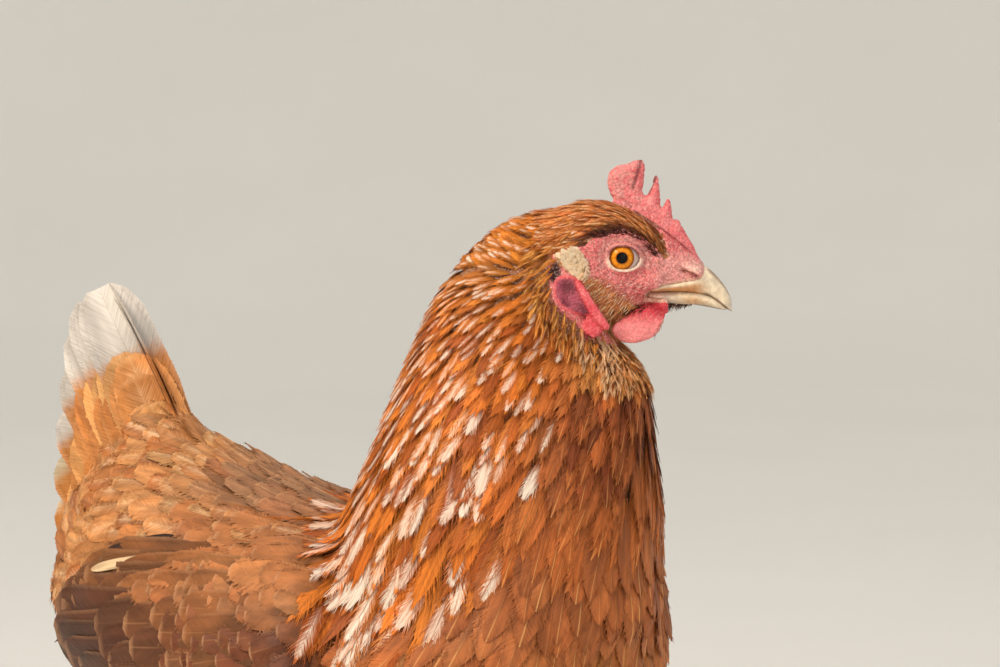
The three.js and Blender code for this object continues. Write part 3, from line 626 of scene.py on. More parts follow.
flesh = between("cf4c50", "f79a94", np.clip(0.15 + 0.6 * blotch + 0.6 * (grit - 0.5), 0, 1))
flesh = wash(flesh, "a02c34", 0.5 * ease(0.5, 0.85, speck))
flesh = wash(flesh, "f4a8a0", 0.65 * ease(10, 16, skin_x) * ease(4, -2, skin_z))
flesh = wash(flesh, "fbd0bc", 0.9 * np.exp(-(((skin_flat - (26.8, -4.6)) / (3.8, 1.9)) ** 2).sum(1)))
slit_off, beside_slit = slit_gap(skin_flat)
# Painted shade: dark red along the slit under each nostril flap, where the slit sinks into the skin.
flesh = wash(flesh, "9c1c14", 0.95 * bell(slit_off, 0.9) * beside_slit)
cheek_gap, _ = outline_gap(skin_flat, np.array([
    (-13, -7), (-6, -8.6), (1, -14), (6, -18.4), (-1, -25), (-6, -25), (-9, -18), (-13, -12),
]))
flesh = wash(flesh, "c07a44", 0.75 * ease(2.2, -1.4, cheek_gap) * (width > 6))
comb_pale = 0.1 + 0.6 * blotch + 0.8 * (grit - 0.5) + 0.15 * ease(0, 2, -comb_gap)
comb_red = between("d4404e", "f99a96", np.clip(comb_pale, 0, 1))
scurf = ease(0.45, 0.7, rough(skin_co, 0.5, 30) * 0.5 + 0.5 + 0.14 * ease(6, -3, skin_x))
comb_red = wash(comb_red, "dfa79e", 0.45 * scurf * ease(12, 4, skin_x))
# Painted shade: dark red along the crease pressed into the rear lobe of the comb.
comb_red = wash(comb_red, "7c2a2c", 0.8 * bell(crease_gap(skin_flat), 0.6))
spike_edge = np.abs(skin_flat @ np.array((0.93, -0.37)) - 0.85) < 0.9
comb_red = wash(comb_red, "5c3a3a", 0.7 * spike_edge * ease(22, 24, skin_z) * (skin_x > 9))
flesh = np.where(is_comb[:, None], comb_red, flesh)
lid = (width > 8) & (eye_gap > -1.2)
flesh = wash(flesh, "e0a79c", 0.45 * lid * ease(5, 2.5, eye_gap) * (skin_z > -4))
# Painted shade: darker red in the two grooves between the folds of the lids.
lid_fold_shade = bell(eye_gap - 1.95, 0.3) + 0.8 * bell(eye_gap - 3.9, 0.4)
flesh = wash(flesh, "8e2430", 0.6 * lid_fold_shade * lid * ease(0.3, 0.5, blotch))
flesh = wash(flesh, "f2dcc4", 0.9 * lid * ease(1.1, 0.6, eye_gap) * ease(1.5, -2.0, skin_z))
flesh = wash(flesh, "742c28", 0.8 * lid * ease(0.9, 0.4, eye_gap) * ease(0, 2, skin_z))
wattle_pale = ease(-19, -27, skin_z) * 0.8 + 0.5 * (grit - 0.5)
wattle_red = between("cf2c3c", "fa9a98", np.clip(wattle_pale, 0, 1))
# Painted shade: deep red along the crease sunk into the wattle.
fold = np.exp(-(((skin_flat - FOLD_AT) @ FOLD_WAY) / 1.5) ** 2) * ease(5, 10, skin_x)
wattle_red = wash(wattle_red, "b01022", 0.85 * fold * ease(18, 15, skin_x))
is_wattle = (wattle_gap < 0.6) & (skin_z < -17) & (width > 6)
flesh = np.where(is_wattle[:, None], wattle_red, flesh)
lobe_red = between("d42e40", "f58c8c", 0.5 * blotch + 0.5 * ease(0.5, 0.7, grit))
maroon = between("6c1a2e", "ac4a5c", ease(0.3, 0.75, 0.6 * blotch + 0.4 * grit))
lobe_red = mix(lobe_red, maroon, ease(-0.1, 0.6, -lobe_gap) * ease(-0.3, 0.3, band_gap))
lobe_red = wash(lobe_red, "a8142c", 0.7 * bell(band_gap, 0.35) * (lobe_gap < 0))
is_lobe = (np.minimum(lobe_gap, band_gap) < 0.8) & (width > 13)
flesh = np.where(is_lobe[:, None], lobe_red, flesh)
down = between("8a5026", "a8703c", blotch)
covered = ~bare & ~is_comb & ~is_lobe & ~is_wattle
flesh = np.where(covered[:, None], down, flesh)
ear = inside(skin_flat, np.array(EAR_TUFT)) & (width > 8)
flesh = np.where(ear[:, None], ink("dcb48a"), flesh)
# Painted shade: a near-black patch in the hollow behind the ear tuft, over the ear opening, where the tuft's
# shadow falls.
dark = np.exp(-(((skin_flat - (-24.9, -5.2)) / (2.6, 4.0)) ** 2).sum(1)) * (width > 8)
flesh = wash(flesh, "2a120e", 0.95 * ease(0.25, 0.6, dark) * ~is_lobe)
horn_gap = skin_z - horn_edge(skin_x)
by_horn = 0.85 * ease(1.9, 0.1, horn_gap) * ease(7.5, 10.5, skin_x) * (width < 12) * ~is_wattle
flesh = wash(flesh, "f3c2a6", by_horn)
grained = 1 - 0.65 * is_wattle - 0.85 * is_lobe - 0.35 * is_comb - 0.5 * lid * ease(2.5, 1, eye_gap)
set_colours(skin.data, "flesh", np.concatenate([flesh, grained[:, None]], -1))


def add_node(tree, kind, settings=None, **sockets):
    """A node with its settings, and its inputs linked or filled in by name, or by number as i0, i1."""
    node = tree.nodes.new("ShaderNode" + kind)
    for key, value in (settings or {}).items():
        setattr(node, key, value)
    for key, value in sockets.items():
        numbered = key[0] == "i" and key[1:].isdigit()
        socket = node.inputs[int(key[1:])] if numbered else node.inputs[key.replace("_", " ")]
        if isinstance(value, bpy.types.NodeSocket):
            tree.links.new(value, socket)
        else:
            socket.default_value = value
    return node


def calc(tree, operation, *values):
    """The output of a Math node."""
    sockets = {f"i{k}": value for k, value in enumerate(values)}
    return add_node(tree, "Math", {"operation": operation}, **sockets).outputs[0]


def times(tree, a, b):
    return calc(tree, "MULTIPLY", a, b)


def blend_colour(tree, share, a, b, kind="MIX"):
    """The output of a Mix node on colours."""
    settings = {"data_type": "RGBA", "blend_type": kind}
    return add_node(tree, "Mix", settings, i0=share, i6=a, i7=b).outputs[2]


def ramp(tree, value, low, high, to_low=0.0, to_high=1.0):
    """A smooth step of a value."""
    settings = {"interpolation_type": "SMOOTHSTEP"}
    return add_node(tree, "MapRange", settings, i0=value, i1=low, i2=high, i3=to_low, i4=to_high).outputs[0]


def new_material(name, **principled):
    """A material with its Principled shader's own sockets filled in."""
    material = bpy.data.materials.new(name)
    material.use_nodes = True
    shader = material.node_tree.nodes["Principled BSDF"]
    for key, value in principled.items():
        shader.inputs[key.replace("_", " ")].default_value = value
    return material, material.node_tree, shader


def paint(code):
    """A colour for a socket, with its alpha."""
    return (*ink(code), 1)


def attribute(tree, name):
    return add_node(tree, "Attribute", {"attribute_name": name})


def bump(tree, shader, height, strength, distance=0.0003):
    settings = add_node(tree, "Bump", Strength=strength, Distance=distance, Height=height)
    tree.links.new(settings.outputs[0], shader.inputs["Normal"])


def grain(tree, scale, detail=3.0, spot=None):
    """Noise on the piece's own coordinates, in metres."""
    spot = spot or add_node(tree, "TexCoord").outputs["Object"]
    return add_node(tree, "TexNoise", Vector=spot, Scale=float(scale), Detail=detail).outputs[0]


def cells(tree, scale):
    """Distance from the middle of rounded cells on the piece's own coordinates."""
    spot = add_node(tree, "TexCoord").outputs["Object"]
    return add_node(tree, "TexVoronoi", Vector=spot, Scale=float(scale)).outputs[0]


flesh_material, tree, shader = new_material(
    "bare_skin", Roughness=0.46, Subsurface_Weight=0.22, Subsurface_Radius=(1.0, 0.25, 0.15),
    Subsurface_Scale=0.0016, Specular_IOR_Level=0.42,
)
pores = grain(tree, 2400, 2.0)
papillae = cells(tree, 1000)
flesh_given = attribute(tree, "flesh")
# Each papilla is painted lighter in its middle and darker at its edge: a painted highlight on its top and
# painted shade between papillae, over the bump made from the same cells.
shade = times(tree, ramp(tree, pores, 0.3, 0.7, 0.88, 1.1), ramp(tree, papillae, 0.3, 0.75, 1.08, 0.72))
grained_colour = blend_colour(tree, 1.0, flesh_given.outputs["Color"], shade, "MULTIPLY")
# Pale flecks from fine noise: partly pale scurf, partly painted highlights on the skin's granules.
scurf_and_glints = ramp(tree, grain(tree, 1300, 3.0), 0.5, 0.7, 0.0, 0.55)
grained_colour = blend_colour(tree, scurf_and_glints, grained_colour, paint("fac8bc"))
tree.links.new(
    blend_colour(tree, flesh_given.outputs["Alpha"], flesh_given.outputs["Color"], grained_colour),
    shader.inputs["Base Color"],
)
relief_height = calc(tree, "ADD", times(tree, papillae, -1.0), times(tree, pores, 0.8))
bump(tree, shader, relief_height, 0.8, 0.0005)
skin.data.materials.clear()


def place(piece, material, slot_name, *nodes):
    """Finishes a mesh, moves it from the hen's axes to the frame's, and hands it to the frame."""
    piece.data.materials.append(material)
    piece.data.shade_smooth()
    set_vertices(piece.data, (vertex_array(piece.data) + SHIFT) * MM)
    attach(piece, "root")
    if nodes:
        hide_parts(*nodes)


place(
    skin, flesh_material, "red_skin", "torso", "neck", "head", "comb", "tail",
    *(f"{part}_{side}" for part in ("wattle", "earlobe", "wing", "thigh") for side, _ in SIDES),
)
bpy.data.objects.remove(form)

# ---------------------------------------------------------------- neck hackles
# Lance-shaped feathers ring the neck from the back of the head down over the shoulders. Each is a shaft
# with a closed web and the free ends of its barbs along the edge. They are orange brown, and many have a
# white drop near the tip.
TRIES = 7  # points drawn for each place that a root could take
LANCE = [(0, 0.3), (0.2, 0.7), (0.45, 1), (0.7, 0.97), (0.86, 0.74), (0.95, 0.44), (1, 0.14)]


def make_vane(seed, rows, hairs, sweep, shape, fringe, ragged, camber=0.28, uneven=0.02, hair=1.0):
    """One feather laid flat: across from -1 to 1, along from 0 to 1, rise in half widths, and its quads."""
    rng = np.random.default_rng(seed)
    shares, widths = np.array(shape).T
    points, quads = [], []
    last = 0.985 - 0.3 * sweep
    at = np.linspace(0.03, last, rows)

    def barb(root, side, f):
        stop = min(root + sweep * (1 - 0.55 * root), 1)
        a = side * np.interp(stop, shares, widths) * f**0.9
        return a, root + (stop - root) * f**1.25

    for side in (-1, 1):
        first = len(points)
        for root in at:
            bent, edge = rng.normal() * uneven, (1 - fringe) * (1 + rng.normal() * ragged * 0.4)
            for f in (0, 0.5, 1):
                a, y = barb(root, side, f * edge)
                points.append((a, y, bent * f - camber * a * a))
        points += [(0, last + (0.995 - last) * f, 0) for f in (0.08, 0.5, 1)]
        for q in (first + 3 * k + j for k in range(rows) for j in range(2)):
            quads.append((q, q + 1, q + 4, q + 3) if side > 0 else (q, q + 3, q + 4, q + 1))
        for root in np.sort(rng.uniform(0.03, last, hairs)):
            q, thick, bent = len(points), 0.5 * hair / hairs, rng.normal() * uneven * 2
            a, y = barb(root, side, 1 - fringe - 0.2)
            b, tip = barb(root, side, 1 + rng.normal() * ragged)
            points += [(a, y - thick, 0.01 - camber * a * a), (a, y + thick, 0.015 - camber * a * a)]
            fall = bent - camber * b * b
            points += [(b, tip - 0.2 * thick, fall), (b, tip + 0.2 * thick, fall)]
            quads.append((q, q + 2, q + 3, q + 1) if side > 0 else (q, q + 1, q + 3, q + 2))
    first = len(points)
    for y in np.linspace(0, 0.97, 5):
        w = 0.05 * (1 - 0.8 * y)
        points += [(-w, y, 0.0), (0, y, 1.1 * w + 0.01), (w, y, 0.0)]
    for j in range(4):
        q = first + 3 * j
        quads += [(q, q + 3, q + 4, q + 1), (q + 1, q + 4, q + 5, q + 2)]
    return np.array(points, float), np.array(quads)


def vane_set(count, seed, *sizes, **finish):
    """Feathers of one kind that differ a little."""
    return [make_vane(seed + k, *sizes, **finish) for k in range(count)]


def lay_over(roots, heading, length, steps=6, cling=0.85):
    """Where each shaft runs: from its root over the form, step by step, in the way it heads."""
    count = len(roots)
    path, up = np.zeros((2, count, steps + 1, 3))
    for i in range(count):
        spot, way, step, last = Vector(roots[i]), Vector(heading[i]), length[i] / steps, None
        for k in range(steps + 1):
            near, _, face, _ = form_tree.find_nearest(spot)
            normal = form_face_normals[face]
            normal = normal if last is None else last.lerp(normal, 0.5).normalized()
            gap = (spot - near).dot(normal)
            spot = spot - normal * gap * (1 if gap < 0 else cling)
            path[i, k], up[i, k] = spot, normal
            way = (way - normal * way.dot(normal)).normalized()
            spot, last = spot + way * step, normal
    return path, up


def even(path):
    """Which of the paths bend nowhere sharply."""
    steps = unit(np.diff(path, axis=1))
    return np.einsum("ijk,ijk->ij", steps[:, 1:], steps[:, :-1]).min(1) > 0.6


def feather_mesh(name, vanes, path, up, width, tint, mark, spot, lift=(-3.5, 0.0), roll=6.0, seed=1,
                 tip_tint=None, tip_from=(0.4, 0.8), tilt=0.0, unsettled=0.3):
    """A piece of many feathers as one mesh, with its colours, its marks and the maps that they follow."""
    rng = np.random.default_rng(seed)
    count, stations = path.shape[:2]
    along = unit(np.gradient(path, axis=1))
    side = unit(np.cross(along, up))
    up = np.cross(side, along)
    turn = np.radians(tilt + rng.normal(0, roll, count))[:, None, None]
    side, up = side * np.cos(turn) + up * np.sin(turn), up * np.cos(turn) - side * np.sin(turn)
    kind = rng.integers(0, len(vanes), count)
    wobble = rng.normal(0, unsettled, count)
    all_points, all_quads, vane_uv, bake_uv, tints, marks, start = [], [], [], [], [], [], 0
    for v, (shape, quads) in enumerate(vanes):
        which = np.flatnonzero(kind == v)
        if not len(which):
            continue
        share = np.clip(shape[:, 1], 0, 1) * (stations - 1)
        i = np.minimum(share.astype(int), stations - 2)
        f = (share - i)[None, :, None]
        over = (shape[:, 1] - 1).clip(0)[None, :, None]
        run = path[which]
        middle = run[:, i] * (1 - f) + run[:, i + 1] * f + over * (run[:, -1:] - run[:, -2:-1])
        sideways = side[which][:, i] * (1 - f) + side[which][:, i + 1] * f
        upward = up[which][:, i] * (1 - f) + up[which][:, i + 1] * f
        half = width[which][:, None, None] / 2
        s = shape[:, 1][None, :, None]
        low, high = (np.broadcast_to(value, count)[which][:, None, None] for value in lift)
        height = low + (high - low) * np.clip(s, 0, 1) ** 0.7 + wobble[which][:, None, None] * s
        points = middle + sideways * shape[:, 0][None, :, None] * half
        points = points + upward * (shape[:, 2][None, :, None] * half + height)
        all_points.append(points.reshape(-1, 3))
        size = len(shape)
        offsets = start + np.arange(len(which))[:, None, None] * size
        all_quads.append((quads[None] + offsets).reshape(-1, 4))
        start += len(which) * size
        vane_uv.append(np.tile(shape[:, :2], (len(which), 1)))
        patch = shape[:, :2] * (0.0014, 0.0028) + (0, -0.0014)
        bake_uv.append((spot[which][:, None] + patch[None]).reshape(-1, 2))
        shades = np.repeat(tint[which], size, axis=0)
        if tip_tint is not None:
            low, high = (np.repeat(np.broadcast_to(value, count)[which], size) for value in tip_from)
            share = ease(low, high, np.tile(shape[:, 1], len(which)))
            shades = mix(shades, np.repeat(tip_tint[which], size, axis=0), share)
        tints.append(shades)
        marks.append(np.repeat(mark[which], size, axis=0))
    points, quads = np.concatenate(all_points), np.concatenate(all_quads)
    mesh = bpy.data.meshes.new(name)
    mesh.vertices.add(len(points))
    mesh.vertices.foreach_set("co", points.astype(np.float32).ravel())
    mesh.loops.add(quads.size)
    mesh.loops.foreach_set("vertex_index", quads.astype(np.int32).ravel())
    mesh.polygons.add(len(quads))
    mesh.polygons.foreach_set("loop_start", np.arange(len(quads), dtype=np.int32) * 4)
    mesh.update(calc_edges=True)
    for layer, values in (("OFBake", bake_uv), ("Vane", vane_uv)):
        values = np.concatenate(values)[quads.ravel()]
        mesh.uv_layers.new(name=layer).data.foreach_set("uv", values.astype(np.float32).ravel())
    set_colours(mesh, "tint", np.concatenate(tints))
    marks = np.concatenate(marks)
    for k, layer in enumerate(("streak", "breadth", "rim", "lot")):
        values = mesh.attributes.new(layer, "FLOAT", "POINT").data
        values.foreach_set("value", marks[:, k].astype(np.float32))
    piece = bpy.data.objects.new(name, mesh)
    bpy.context.scene.collection.objects.link(piece)
    return piece


def scatter(chosen, spacing, seed):
    """Roots over the chosen faces of the form, no two nearer than the spacing there."""
    rng = np.random.default_rng(seed)
    faces = np.flatnonzero(chosen)
    gap = spacing(form_middles[faces])
    weight = form_areas[faces] / gap**2
    wanted = int(weight.sum() * TRIES)
    picked = rng.choice(faces, wanted, p=weight / weight.sum())
    corners = form_co[np.array([(form_faces[f] + form_faces[f][:1])[:4] for f in picked])]
    u, v = rng.random((2, wanted, 1))
    near_edge = corners[:, 0] * (1 - u) + corners[:, 1] * u
    far_edge = corners[:, 3] * (1 - u) + corners[:, 2] * u
    roots = near_edge * (1 - v) + far_edge * v
    gap = spacing(roots)
    tree = kdtree.KDTree(wanted)
    for k, root in enumerate(roots):
        tree.insert(root, k)
    tree.balance()
    taken = np.zeros(wanted, bool)
    kept = []
    for k in range(wanted):
        if not taken[k]:
            kept.append(k)
            for _, near, _ in tree.find_range(roots[k], gap[k]):
                taken[near] = True
    return roots[kept]


def around_neck(points):
    """Each point's angle about the neck, 0 at the throat and pi at the nape, and its share of the way up."""
    z = np.asarray(points)[:, 2]
    middles = smooth_row(NECK, np.linspace(0.1, 0.92, 200))
    row = [np.interp(z, middles[:, 2], middles[:, k]) for k in range(8)]
    yaw = np.radians(row[3])
    dx, dy = points[:, 0] - row[0], points[:, 1] - row[1]
    angle = np.arctan2(np.cos(yaw) * dy - np.sin(yaw) * dx, np.cos(yaw) * dx + np.sin(yaw) * dy)
    return angle, np.interp(z, middles[:, 2], np.linspace(0.1, 0.92, 200))


def random_tints(base, rng, spread=0.14):
    """Colours that differ a little from feather to feather."""
    light = np.exp(np.clip(rng.normal(0, spread, (len(base), 1)), -1.7 * spread, 1.7 * spread))
    warm = 1 + rng.normal(0, 0.05, (len(base), 1)) * np.array((-0.4, 0.5, 1.0))
    return np.clip(base * light * warm, 0, 1)


def marks_of(lot, streak=0, breadth=0, rim=0):
    """The marks that each feather carries: its streak, the streak's breadth, its rim, and its own lot."""
    return np.stack([streak + 0 * lot, breadth + 0 * lot, rim + 0 * lot, lot], -1)


def feather_group():
    """Marks of a feather: streak along the shaft, barbs, and rim. Puts out colour, roughness and height."""
    tree = bpy.data.node_groups.new("feather_marks", "ShaderNodeTree")
    face = tree.interface
    for name, kind in (
        ("Tint", "NodeSocketColor"), ("Streak Colour", "NodeSocketColor"), ("Rim Colour", "NodeSocketColor"),
        ("Streak", "NodeSocketFloat"), ("Breadth", "NodeSocketFloat"), ("Rim", "NodeSocketFloat"),
        ("Lot", "NodeSocketFloat"), ("Vane", "NodeSocketVector"), ("Barbs", "NodeSocketFloat"),
        ("Strands", "NodeSocketFloat"), ("Shaft", "NodeSocketFloat"), ("Shaft Colour", "NodeSocketColor"),
    ):
        face.new_socket(name, in_out="INPUT", socket_type=kind)
    outputs = (("Color", "NodeSocketColor"), ("Roughness", "NodeSocketFloat"), ("Height", "NodeSocketFloat"))
    for name, kind in outputs:
        face.new_socket(name, in_out="OUTPUT", socket_type=kind)
    given = tree.nodes.new("NodeGroupInput").outputs
    result = tree.nodes.new("NodeGroupOutput").inputs
    split = add_node(tree, "SeparateXYZ", Vector=given["Vane"]).outputs
    across = calc(tree, "ABSOLUTE", split[0])
    along = split[1]
    slant = times(tree, calc(tree, "SUBTRACT", along, times(tree, across, 0.22)), given["Barbs"])
    spot = add_node(tree, "CombineXYZ", X=times(tree, split[0], 1.5), Y=slant,
                    Z=times(tree, given["Lot"], 53.0)).outputs[0]
    strand = add_node(tree, "TexNoise", Vector=spot, Scale=1.0, Detail=2.0).outputs[0]
    lengthwise = add_node(tree, "CombineXYZ", X=times(tree, split[0], given["Strands"]),
                          Y=times(tree, along, 2.5), Z=times(tree, given["Lot"], 91.0)).outputs[0]
    lock = add_node(tree, "TexNoise", Vector=lengthwise, Scale=1.0, Detail=2.0).outputs[0]
    drop = times(tree, ramp(tree, along, 0.1, 0.8), ramp(tree, along, 0.97, 0.86))
    edge = calc(tree, "SUBTRACT", times(tree, given["Breadth"], drop), across)
    edge = calc(tree, "ADD", edge, times(tree, calc(tree, "SUBTRACT", strand, 0.5), 1.6))
    streak = times(tree, times(tree, ramp(tree, edge, -0.3, 0.5), given["Streak"]),
                  ramp(tree, drop, 0.15, 0.85))
    streak = times(tree, streak, ramp(tree, lock, 0.32, 0.55, 0.45, 1.0))
    # Each feather is darker towards its root: painted shade where it lies under the feathers above it, and
    # partly its duller downy base.
    shade = times(tree, ramp(tree, strand, 0.3, 0.7, 0.84, 1.14), ramp(tree, along, 0.2, 0.8, 0.7, 1.04))
    shade = times(tree, shade, ramp(tree, lock, 0.3, 0.7, 0.74, 1.18))
    ground = blend_colour(tree, 1.0, given["Tint"], shade, "MULTIPLY")
    rim = times(tree, ramp(tree, across, 0.76, 0.98, 0.0, 0.55), given["Rim"])
    rim_tip = times(tree, ramp(tree, along, 0.93, 0.99), given["Rim"])
    ground = blend_colour(tree, calc(tree, "MAXIMUM", rim, rim_tip), ground, given["Rim Colour"])
    shaft = times(tree, ramp(tree, across, 0.055, 0.02), ramp(tree, along, 0.5, 0.85, 0.0, 1.0))
    shaft = times(tree, shaft, times(tree, given["Shaft"], ramp(tree, given["Lot"], 0.2, 0.9, 0.2, 1.0)))
    ground = blend_colour(tree, shaft, ground, given["Shaft Colour"])
    tree.links.new(blend_colour(tree, streak, ground, given["Streak Colour"]), result["Color"])
    tree.links.new(ramp(tree, strand, 0.2, 0.8, 0.62, 0.42), result["Roughness"])
    tree.links.new(strand, result["Height"])
    return tree


marks_group = feather_group()


def feather_material(
    name, streak_colour, rim_colour, barbs=46.0, strands=3.0, shaft=0.3, shaft_colour="e8b070", relief=0.4,
):
    """A coat's material: the marks that each feather carries, in the coat's own colours."""
    material, tree, shader = new_material(name, Roughness=0.5, Specular_IOR_Level=0.22)
    group = tree.nodes.new("ShaderNodeGroup")
    group.node_tree = marks_group
    tree.links.new(attribute(tree, "tint").outputs["Color"], group.inputs["Tint"])
    for name in ("streak", "breadth", "rim", "lot"):
        tree.links.new(attribute(tree, name).outputs["Fac"], group.inputs[name.title()])
    uv = add_node(tree, "UVMap", {"uv_map": "Vane"})
    tree.links.new(uv.outputs[0], group.inputs["Vane"])
    for key, value in {
        "Streak Colour": paint(streak_colour), "Rim Colour": paint(rim_colour), "Barbs": barbs,
        "Strands": strands, "Shaft": shaft, "Shaft Colour": paint(shaft_colour),
    }.items():
        group.inputs[key].default_value = value
    tree.links.new(group.outputs["Color"], shader.inputs["Base Color"])
    tree.links.new(group.outputs["Roughness"], shader.inputs["Roughness"])
    bump(tree, shader, group.outputs["Height"], relief)
    return material


def down_neck(points):
    """The lie of the hackles: down the neck from the head, each along its own side of it."""
    angle, share = around_neck(points)
    step = neck_point(np.clip(share - 0.03, 0.05, 1), angle) - neck_point(np.clip(share, 0.08, 1), angle)
    return unit(step + np.array((-0.15, 0, -0.4)) * ease(0.34, 0.2, share)[:, None])


lance_vanes = vane_set(5, 0, 8, 26, 0.34, LANCE, fringe=0.42, ragged=0.16, camber=0.14, hair=1.1)
long_lance_vanes = vane_set(5, 10, 11, 40, 0.32, LANCE, fringe=0.36, ragged=0.14, camber=0.14, hair=1.1)
hackle_material = feather_material(
    "hackle", "e6dac8", "6a2a0a", barbs=50.0, strands=7.0, shaft=0.5, shaft_colour="eeb468", relief=0.3,
)
head_of_form = to_head(form_middles)  # every face of the form, about the middle of the head
on_form_x, on_form_y, on_form_z = head_of_form.T
throat_front = 9 + 7 * ease(-22, -28, on_form_z)
throat = (np.abs(on_form_y) < 8) & (on_form_z < -20) & (on_form_x < throat_front)
off_face = ~inside(head_of_form[:, [0, 2]], np.array(BARE_FACE)) | throat
behind_face = (form_part == "head") & ((on_form_x < -12) | throat)
hackle_area = ((form_part == "neck") | behind_face) & off_face
neck_angle, _ = around_neck(form_middles)
hackle_floor = 212 + 40 * ease(1.35, 0.75, np.abs(neck_angle))
hackle_area &= form_middles[:, 2] > hackle_floor
HACKLE_ROWS = [
    # height, spacing, length, width, breadth of the white drop
    (205, 7.1, 46, 13, 0.6), (235, 6.5, 42, 11.5, 0.52), (262, 5.2, 34, 9, 0.42), (290, 4.1, 25, 6.8, 0.34),
    (312, 3.2, 18, 5.0, 0.30), (335, 2.4, 11, 3.4, 0.28),
]


def hackle_row(points, column):
    rows = np.array(HACKLE_ROWS)
    return np.interp(points[:, 2], rows[:, 0], rows[:, column])


hackle_roots = scatter(hackle_area, lambda points: hackle_row(points, 1), 11)
hackle_rng = np.random.default_rng(12)
hackle_length = hackle_row(hackle_roots, 2) * hackle_rng.uniform(0.85, 1.15, len(hackle_roots))
hackle_width = hackle_row(hackle_roots, 3) * hackle_rng.uniform(0.85, 1.15, len(hackle_roots))
heading = unit(down_neck(hackle_roots) + hackle_rng.normal(0, 0.10, hackle_roots.shape))
path, up = lay_over(hackle_roots, heading, hackle_length)
on_head = to_head(path.reshape(-1, 3))
on_face = inside(on_head[:, [0, 2]], np.array(BARE_FACE)) & (np.abs(on_head[:, 1]) > 8.5)
kept = even(path) & ~on_face.reshape(path.shape[:2]).any(1)
hackle_roots, hackle_width, path, up = hackle_roots[kept], hackle_width[kept], path[kept], up[kept]
tip_angle, tip_share = around_neck(path[:, 4])
tip_z = path[:, 4, 2]
turned = np.abs(tip_angle)
back = ease(0.7, 1.25, turned)  # from the throat's darker front round to the marked sides and nape
luck = hackle_rng.random(len(path))
tint = between("b2602a", "ca6f22", back)
tint = wash(tint, "8c3a0c", 0.7 * back * (hackle_rng.random(len(path)) < 0.35))
# A dark purple-brown band across the front of the neck: partly the feathers' own darker brown, partly
# painted shade on the throat.
throat_shade_band = ease(1.1, 0.6, turned) * ease(246, 264, tip_z) * ease(296, 284, tip_z)
tint = wash(tint, "5c2512", throat_shade_band * hackle_rng.uniform(0.2, 0.85, len(path)))
tint = wash(tint, "d08a44", 0.8 * ease(0.9, 0.5, turned) * ease(288, 298, tip_z))
tint = wash(tint, "c9771f", 0.7 * ease(312, 338, tip_z))
tint = random_tints(tint, hackle_rng, 0.13)
marked = hackle_rng.random(len(path)) > 0.4 + 0.35 * ease(1.55, 0.8, turned) + 0.6 * ease(0.85, 0.6, turned)
streak = marked * hackle_rng.uniform(0.5, 1.0, len(path))
breadth = hackle_row(path[:, 4], 4) * np.exp(hackle_rng.normal(0, 0.35, len(path)))
mark = marks_of(luck * (1 - 0.7 * back), streak, breadth, 0.15 + 0.2 * ease(285, 240, tip_z))
spot = np.stack([(tip_angle / math.pi * 0.49 + 0.5) * 0.98, np.clip(tip_share, 0, 1) * 0.98 + 0.01], -1)
HACKLE_PIECES = {
    "hackle_upper": (hackle_roots[:, 2] > 290, lance_vanes),
    "hackle_lower": (hackle_roots[:, 2] <= 290, long_lance_vanes),
}
for piece_name, (chosen, vanes) in HACKLE_PIECES.items():
    piece = feather_mesh(
        piece_name, vanes, path[chosen], up[chosen], hackle_width[chosen], tint[chosen], mark[chosen],
        spot[chosen], lift=(-3.5, 0.1), roll=5,
    )
    place(piece, hackle_material, "hackle_feather")

# ---------------------------------------------------------------- ruff
# Small hairy feathers edge the bare face behind and below, and hide where the coat starts: orange behind the
# ear, cream under the lobe and wattle, and golden on the front of the throat.
WISP = [(0, 0.5), (0.3, 1), (0.6, 0.9), (0.85, 0.6), (1, 0.2)]
wisp_vanes = vane_set(5, 30, 4, 13, 0.5, WISP, fringe=0.6, ragged=0.25, uneven=0.08, hair=1.1, camber=0.12)
face_gap, _ = outline_gap(head_of_form[:, [0, 2]], np.array(BARE_FACE))
behind_or_below = (on_form_x < -17) | (on_form_z < -14)
under_wattles = throat | ((on_form_z < -29) & (on_form_x > -6))
ruff_reach = np.where(under_wattles, 14, 7)
ruff_area = (np.isin(form_part, ("head", "neck"))) & (np.abs(face_gap) < ruff_reach) & behind_or_below
behind_wattle = (np.abs(on_form_x + 8) < 6) & (on_form_z < -25) & (face_gap > -6)
ruff_area &= (face_gap > -1.5) | throat | behind_wattle
ruff_roots = scatter(ruff_area, lambda points: np.full(len(points), 1.55), 31)
ruff_rng = np.random.default_rng(32)
ruff_head = to_head(ruff_roots)
ruff_back = -0.45 - 0.5 * ease(-20, -5, ruff_head[:, 2])
ruff_lie = np.stack([ruff_back, 0 * ruff_back, -1 + 0 * ruff_back], -1)
heading = from_head(unit(ruff_lie)) - HEAD_AT + ruff_rng.normal(0, 0.16, ruff_roots.shape)
ruff_length = ruff_rng.uniform(6, 9.5, len(ruff_roots))
path, up = lay_over(ruff_roots, unit(heading), ruff_length, steps=4)
x, z = ruff_head[:, 0], ruff_head[:, 2]
luck = ruff_rng.random(len(path))
tint = between("c4691e", "dc9440", luck)
tint = wash(tint, "7a3a18", 0.8 * (ruff_rng.random(len(path)) < 0.22))
cream = ease(-19, -13, x) * ease(1, -5, x) * ease(-22, -26, z)
tint = wash(tint, "eab078", 0.75 * ease(-8, -3, x) * (ruff_rng.random(len(path)) < 0.7))
tint = wash(tint, "f6cda0", 0.75 * cream * (ruff_rng.random(len(path)) < 0.75))
tint = random_tints(tint, ruff_rng, 0.16)
mark = marks_of(luck, 0.3 + 0.3 * luck, 0.12, 0.1)
spot = np.stack([(x + 60) / 100, (z + 60) / 100 * 0.49 + 0.5 * (ruff_head[:, 1] > 0)], -1)
